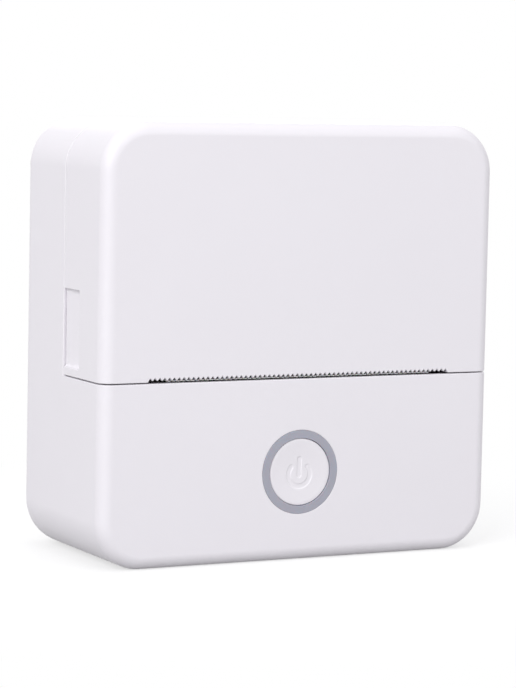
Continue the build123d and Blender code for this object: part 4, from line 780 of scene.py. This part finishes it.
# %% Measures of the cap and its sign, in mm
BUTTON_Z = 17.2
BUTTON_FACE = -19.85
BUTTON_R = 6.48
BUTTON_DISH = 0.25
CAP_BACK = -17.9
FLANGE_BACK = -17.3
STEM_R = 1.6
SIGN_R = 2.3
SIGN_CENTRE = -0.5
SIGN_GAP = math.radians(50)
SIGN_DEPTH = 0.13
SIGN_HALF_STROKE = 0.46
SIGN_SLOPE = 0.26
BAR_TOP = 2.45
BAR_FOOT = -0.65
button_low, button_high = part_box("power_button")
STEM_BACK = button_high.y / MM
FLANGE_R = (button_high.x - button_low.x) / MM / 2
print("flange radius and stem end in mm:", round(FLANGE_R, 2), round(STEM_BACK, 2))

# %% [markdown]
# ## How deep the face lies
# The dish is part of a large sphere. The sign is two strokes, so a point's distance to the sign is
# the smaller of its distances to the bar and to the open ring. Both are plain formulas, which is
# why no drawing or cutting tool is needed.

# %% Depth of the dish and of the sign


def dish_y(radius):
    """Depth position of the dished face at a radius."""
    sphere = (BUTTON_R ** 2 + BUTTON_DISH ** 2) / (2 * BUTTON_DISH)
    return BUTTON_FACE + BUTTON_DISH - (sphere - math.sqrt(sphere ** 2 - radius ** 2))


def stroke_distance(x, z):
    """Distance from a point of the face to the middle of the nearest stroke."""
    to_bar = math.hypot(x, z - min(max(z, BAR_FOOT), BAR_TOP))
    up = z - SIGN_CENTRE
    if abs(math.atan2(x, up)) > SIGN_GAP:
        to_arc = abs(math.hypot(x, up) - SIGN_R)
    else:
        end_x = SIGN_R * math.sin(SIGN_GAP)
        to_arc = math.hypot(abs(x) - end_x, up - SIGN_R * math.cos(SIGN_GAP))
    return min(to_bar, to_arc)


def sign_depth(x, z):
    """How deep the face lies at a point: full depth in a stroke, fading at its sides."""
    share = (SIGN_HALF_STROKE + SIGN_SLOPE / 2 - stroke_distance(x, z)) / SIGN_SLOPE
    share = min(max(share, 0.0), 1.0)
    return SIGN_DEPTH * share * share * (3 - 2 * share)


print("depth in the bar in mm:", sign_depth(0, 1))

# %% [markdown]
# ## From points to an object
# The cap and the paper are both built point by point, and both need the same last steps: normals
# that face outwards, smooth shading, and an object in the scene. Only turns sharper than an angle
# stay sharp, so a lip keeps its crease while the rest looks round.

# %% The helper that closes a mesh


def mesh_piece(bm, name, sharp_turn):
    """Makes a linked object of a mesh, smooth except across sharp turns."""
    bmesh.ops.recalc_face_normals(bm, faces=bm.faces)
    for face in bm.faces:
        face.smooth = True
    mesh = bpy.data.meshes.new(name)
    bm.to_mesh(mesh)
    bm.free()
    mesh.set_sharp_from_angle(angle=sharp_turn)
    made = bpy.data.objects.new(name, mesh)
    bpy.context.scene.collection.objects.link(made)
    return made


print("mesh helper: mesh_piece")

# %% [markdown]
# ## Turning a piece
# A cap comes from a round mould, so a profile turned round an axis describes it best. Blender's
# Spin or Screw tools could turn it, but then the sign couldn't be sunk point by point. Here each
# ring of points is placed by a formula, and faces join one ring to the next.

# %% The helper that turns a profile
TURNED_SHARP = math.radians(60)


def turned_piece(name, profile, steps, depth_at):
    """Turns a profile of (radius, y) points round the button's axis into a closed mesh."""
    bm = bmesh.new()
    rings = []
    for radius, y in profile:
        ring = []
        for step in range(steps if radius else 1):
            angle = 2 * math.pi * step / steps
            x = radius * math.cos(angle)
            z = radius * math.sin(angle)
            sunk = depth_at(x, z) if y < CAP_BACK else 0.0
            ring.append(bm.verts.new((x * MM, (y + sunk) * MM, (BUTTON_Z + z) * MM)))
        rings.append(ring)
    for first, second in zip(rings, rings[1:]):
        for step in range(steps):
            after = (step + 1) % steps
            corners = [first[step % len(first)], first[after % len(first)],
                       second[after % len(second)], second[step % len(second)]]
            bm.faces.new(list(dict.fromkeys(corners)))
    return mesh_piece(bm, name, TURNED_SHARP)


print("mesh helper: turned_piece")

# %% [markdown]
# ## The cap's profile
# The profile runs from the middle of the face outwards, over a small rounded lip, down the side,
# round the flange that keeps the cap in, and along the stem that presses the switch. Only the part
# with the sign has its rings close together.

# %% Turn the cap, with measures in mm
CAP_STEPS = 240
SIGN_REACH = 3.75
SIGN_RINGS = 50
OUTER_RADII = [4.2, 4.7, 5.2, 5.7]
EDGE_ROLL = 0.22
LIP_TURNS = [math.radians(turn) for turn in (30, 60, 90)]
radii = [SIGN_REACH * index / SIGN_RINGS for index in range(SIGN_RINGS + 1)]
radii += OUTER_RADII + [BUTTON_R - EDGE_ROLL]
cap_profile = [(radius, dish_y(radius)) for radius in radii]
lip_radius, lip_y = cap_profile[-1]
cap_profile += [(lip_radius + EDGE_ROLL * math.sin(turn), lip_y + EDGE_ROLL * (1 - math.cos(turn)))
                for turn in LIP_TURNS]
cap_profile += [(BUTTON_R, CAP_BACK), (FLANGE_R, CAP_BACK), (FLANGE_R, FLANGE_BACK),
                (STEM_R, FLANGE_BACK), (STEM_R, STEM_BACK), (0, STEM_BACK)]
cap = turned_piece("button_cap", cap_profile, CAP_STEPS, sign_depth)
cap.data.materials.append(finishes["white_plastic"])
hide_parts("power_button")
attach(cap, "button")
print("cap faces:", len(cap.data.polygons))

# %% [markdown]
# ## The path of the paper
# The paper leaves the roll on a straight line, passes round the back of the platen and comes out
# under the teeth. Seen from the side it is one thin line: a straight that touches both circles, an
# arc, and a nearly flat run to the slot. The angle where it leaves the platen follows from the two
# circles.

# %% Path of the web in the side view, in mm
WEB_R = 4.21
ROLL_WEB_R = 15.21
TEAR_FRONT = -19.88
TEAR_Z = 35.615
ARC_STEPS = 16
SLOT_SHARES = (0.0, 0.06, 0.14, 0.3, 0.65)
ROLL_SHARES = (0.33, 0.67, 1.0)
platen_y, platen_z = (value / MM for value in axis_of("platen_spin")[1:])
roll_y, roll_z = (value / MM for value in ROLL_AXIS[1:])
apart = math.hypot(roll_y - platen_y, roll_z - platen_z)
between = math.atan2(roll_z - platen_z, roll_y - platen_y)
leave_angle = between + math.asin((WEB_R + ROLL_WEB_R) / apart) - math.pi / 2


def on_circle(centre_y, centre_z, radius, angle):
    return (centre_y + radius * math.cos(angle), centre_z + radius * math.sin(angle))


def on_line(start, stop, shares):
    """Points at shares of the way from start to stop."""
    return [(start[0] + (stop[0] - start[0]) * share, start[1] + (stop[1] - start[1]) * share)
            for share in shares]


def web_path():
    """Middle line of the web from the slot to the roll."""
    points = on_line((TEAR_FRONT, TEAR_Z), (platen_y, platen_z - WEB_R), SLOT_SHARES)
    for step in range(ARC_STEPS + 1):
        angle = -math.pi / 2 + (leave_angle + math.pi / 2) * step / ARC_STEPS
        points.append(on_circle(platen_y, platen_z, WEB_R, angle))
    stop = on_circle(roll_y, roll_z, -ROLL_WEB_R, leave_angle)
    return points + on_line(points[-1], stop, ROLL_SHARES)


path = web_path()
print("web length in mm:", round(sum(math.dist(a, b) for a, b in zip(path, path[1:])), 1))

# %% [markdown]
# ## The torn line
# Torn paper is never a clean zigzag: each tooth leaves a point of its own length, each root lies at
# its own depth, and single fibres stand out. So every tooth draws its own two numbers, and every
# column between them adds a little more. The draws start from a fixed seed, so the edge is the
# same each time.

# %% Draw the torn line, with measures in mm
WEB_HALF = 28.5
TOOTH_PITCH = 1.0
COLUMNS_PER_TOOTH = 8
SHORTEST_POINT = 0.84
SHALLOWEST_ROOT = 0.8
FIBRE_REACH = 0.05
dice = random.Random(5)
tooth_count = int(2 * WEB_HALF / TOOTH_PITCH)
point_lengths = [dice.uniform(SHORTEST_POINT, 1.0) for _ in range(tooth_count)]
root_depths = [dice.uniform(SHALLOWEST_ROOT, 1.0) for _ in range(tooth_count + 1)]


def torn(column):
    """How far back the torn edge lies at a column, 0 at a point and 1 at a root."""
    tooth, part = divmod(column, COLUMNS_PER_TOOTH)
    across = abs(2 * part / COLUMNS_PER_TOOTH - 1)
    own_point = 1 - point_lengths[min(tooth, tooth_count - 1)]
    near_root = root_depths[tooth if part < COLUMNS_PER_TOOTH / 2 else min(tooth + 1, tooth_count)]
    fibre = dice.uniform(-FIBRE_REACH, FIBRE_REACH)
    return min(max(own_point + (near_root - own_point) * across + fibre, 0.0), 1.0)


column_count = tooth_count * COLUMNS_PER_TOOTH
tear = [torn(column) for column in range(column_count + 1)]
print("columns across the web:", len(tear))

# %% [markdown]
# ## One column of the web
# The free paper is a strip 57 mm wide. A cloth simulation could hang it, but it is held tight
# between the roll and the nip, so its path is known. One column of points follows that path, half
# a thickness above or below it. Its front point is moved back to the torn line, and droops a
# little where it is a paper point.

# %% Helpers that weave, with measures in mm
WEB_THICKNESS = 0.06
TEAR_DEPTH = 0.6
TEAR_BACKING = 0.08
POINT_DROOP = 0.03


def web_line(bm, x, torn_back, side):
    """One column of points along the path, on the upper (1) or lower (-1) face."""
    line = []
    for index, (y, z) in enumerate(path):
        before, after = path[max(index - 1, 0)], path[min(index + 1, len(path) - 1)]
        along = Vector((after[0] - before[0], after[1] - before[1])).normalized()
        if index == 0:
            y += TEAR_DEPTH * torn_back
            z -= POINT_DROOP * (1 - torn_back)
        elif index == 1:
            y = max(y, TEAR_FRONT + TEAR_DEPTH * torn_back + TEAR_BACKING)
        y -= along.y * side * WEB_THICKNESS / 2
        z += along.x * side * WEB_THICKNESS / 2
        line.append(bm.verts.new((x * MM, y * MM, z * MM)))
    return line


def bridge(bm, first, second):
    """Joins two rows of as many points with faces."""
    for index in range(len(first) - 1):
        bm.faces.new((first[index], first[index + 1], second[index + 1], second[index]))


print("web thickness in mm:", WEB_THICKNESS)

# %% [markdown]
# ## Weave the web
# The whole web is one column beside the other, once for the upper face and once for the lower. A
# flat grid could be bent along the path, but its front wouldn't meet the torn line. The two faces
# are closed along both sides and both ends, so the paper is a thin solid.

# %% Weave the web
WEB_SHARP = math.radians(50)
bm = bmesh.new()
top, under = [], []
for column, torn_back in enumerate(tear):
    x = -WEB_HALF + 2 * WEB_HALF * column / column_count
    top.append(web_line(bm, x, torn_back, 1))
    under.append(web_line(bm, x, torn_back, -1))
for lines in (top, under):
    for first, second in zip(lines, lines[1:]):
        bridge(bm, first, second)
for end in (0, -1):
    bridge(bm, top[end], under[end])
    bridge(bm, [line[end] for line in top], [line[end] for line in under])
web = mesh_piece(bm, "torn_web", WEB_SHARP)
web.data.materials.append(finishes["paper"])
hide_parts("paper_web")
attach(web, "root")
print("web faces:", len(web.data.polygons))

# %% [markdown]
# ## Rays that see the background
# The photograph shows the printer on pure white, but a pure white room would light it without any
# shape. Light paths tell the rays that show the background from the rays that light the printer,
# so the floor and the world can answer each kind in its own way.

# %% Which rays see the background


def sees_background(tree):
    """1 for rays that should see the white background: camera, mirror and glass rays."""
    rays = add(tree, "LightPath").outputs
    seen = math_node(tree, "MAXIMUM", rays["Is Camera Ray"], rays["Is Glossy Ray"])
    return math_node(tree, "MAXIMUM", seen, rays["Is Transmission Ray"])


print("ray helper: sees_background")

# %% [markdown]
# ## Floor
# The printer stands on a pale floor that runs into the white background. The floor only has to be
# far larger than the printer, so one flat face is enough.

# %% Lay the floor
FLOOR_REACH = 4.0
floor_mesh = bpy.data.meshes.new("floor")
corners = [(x * FLOOR_REACH, y * FLOOR_REACH, 0) for x, y in ((-1, -1), (1, -1), (1, 1), (-1, 1))]
floor_mesh.from_pydata(corners, [], [(0, 1, 2, 3)])
floor = bpy.data.objects.new("floor", floor_mesh)
bpy.context.scene.collection.objects.link(floor)
print("floor half width in m:", FLOOR_REACH)

# %% [markdown]
# ## The floor's finish
# A shadow catcher would need render settings, so the floor does it by itself. Far from the printer
# it simply shows white to the camera. Near it the floor is a diffuse surface with a little light
# of its own, so a faint soft shadow stays. To all other rays it is only the diffuse surface.

# %% Floor finish
FLOOR_TONE = 0.42
FLOOR_LIFT = 0.61
FADE_START = 0.05
FADE_END = 0.12
floor_finish = bpy.data.materials.new("pale_floor")
floor_finish.use_nodes = True
tree = floor_finish.node_tree
tree.nodes.clear()
matt = add(tree, "BsdfDiffuse", None, Color=white(FLOOR_TONE)).outputs[0]
lift = add(tree, "Emission", None, Color=white(1.0), Strength=FLOOR_LIFT).outputs[0]
lit = add(tree, "AddShader", None, n0=matt, n1=lift).outputs[0]
plain = add(tree, "Emission", None, Color=white(1.0), Strength=1.0).outputs[0]
away = add(tree, "VectorMath", {"operation": "LENGTH"},
           n0=add(tree, "NewGeometry").outputs["Position"]).outputs["Value"]
far = add(tree, "MapRange", {"interpolation_type": "SMOOTHSTEP"}, Value=away,
          From_Min=FADE_START, From_Max=FADE_END, To_Min=0.0, To_Max=1.0).outputs[0]
near_and_far = add(tree, "MixShader", None, Fac=far, n1=lit, n2=plain).outputs[0]
by_ray = add(tree, "MixShader", None, Fac=sees_background(tree), n1=matt, n2=near_and_far)
add(tree, "OutputMaterial", None, Surface=by_ray.outputs[0])
floor.data.materials.append(floor_finish)
print("floor is pure white beyond m:", FADE_END)

# %% [markdown]
# ## World
# The world is the white room round the printer. Seen directly it is pure white, like the page the
# printer is shown on. As a light it is weaker, or every face would be as bright as every other.

# %% World
WORLD_LEVEL = 0.66
WORLD_TINT = (0.985, 0.985, 1.0, 1)
world = bpy.data.worlds.new("studio")
bpy.context.scene.world = world
world.use_nodes = True
tree = world.node_tree
tree.nodes.clear()
seen = add(tree, "Background", None, Color=white(1.0), Strength=1.0).outputs[0]
lighting = add(tree, "Background", None, Color=WORLD_TINT, Strength=WORLD_LEVEL).outputs[0]
choice = add(tree, "MixShader", None, Fac=sees_background(tree), n1=lighting, n2=seen)
add(tree, "OutputWorld", None, Surface=choice.outputs[0])
print("world level:", WORLD_LEVEL)

# %% [markdown]
# ## Lamps
# A white product on white needs very even light, or it turns grey on one side. The world alone
# would leave it without any shape. A large soft box left of the camera is the strongest, and a
# weaker one right of it evens out the front. One above brightens the upper round, and one behind
# keeps the back from going dark. The lower round falls into shade by itself.

# %% Soft boxes
BOX_WIDTH = 0.6


def soft_box(name, at, watts):
    lamp = bpy.data.lights.new(name, "AREA")
    lamp.shape = "SQUARE"
    lamp.size = BOX_WIDTH
    lamp.energy = watts
    made = bpy.data.objects.new(name, lamp)
    made.location = at
    made.rotation_mode = "QUATERNION"
    toward = CAMERA_TARGET - Vector(at)
    made.rotation_quaternion = toward.to_track_quat("-Z", "Y")
    bpy.context.scene.collection.objects.link(made)


soft_box("left_box", at=(-0.75, -0.55, 0.45), watts=5.55)
soft_box("front_box", at=(0.45, -0.9, 0.5), watts=2.15)
soft_box("top_box", at=(0.0, 0.05, 0.9), watts=0.85)
soft_box("rear_box", at=(0.4, 1.0, 0.35), watts=2.0)
print("lamps:", len(bpy.data.lights))

# %% [markdown]
# ## Last settings
# The plain Standard view shows a colour as it is written.

# %% Finish
bpy.context.scene.view_settings.view_transform = "Standard"
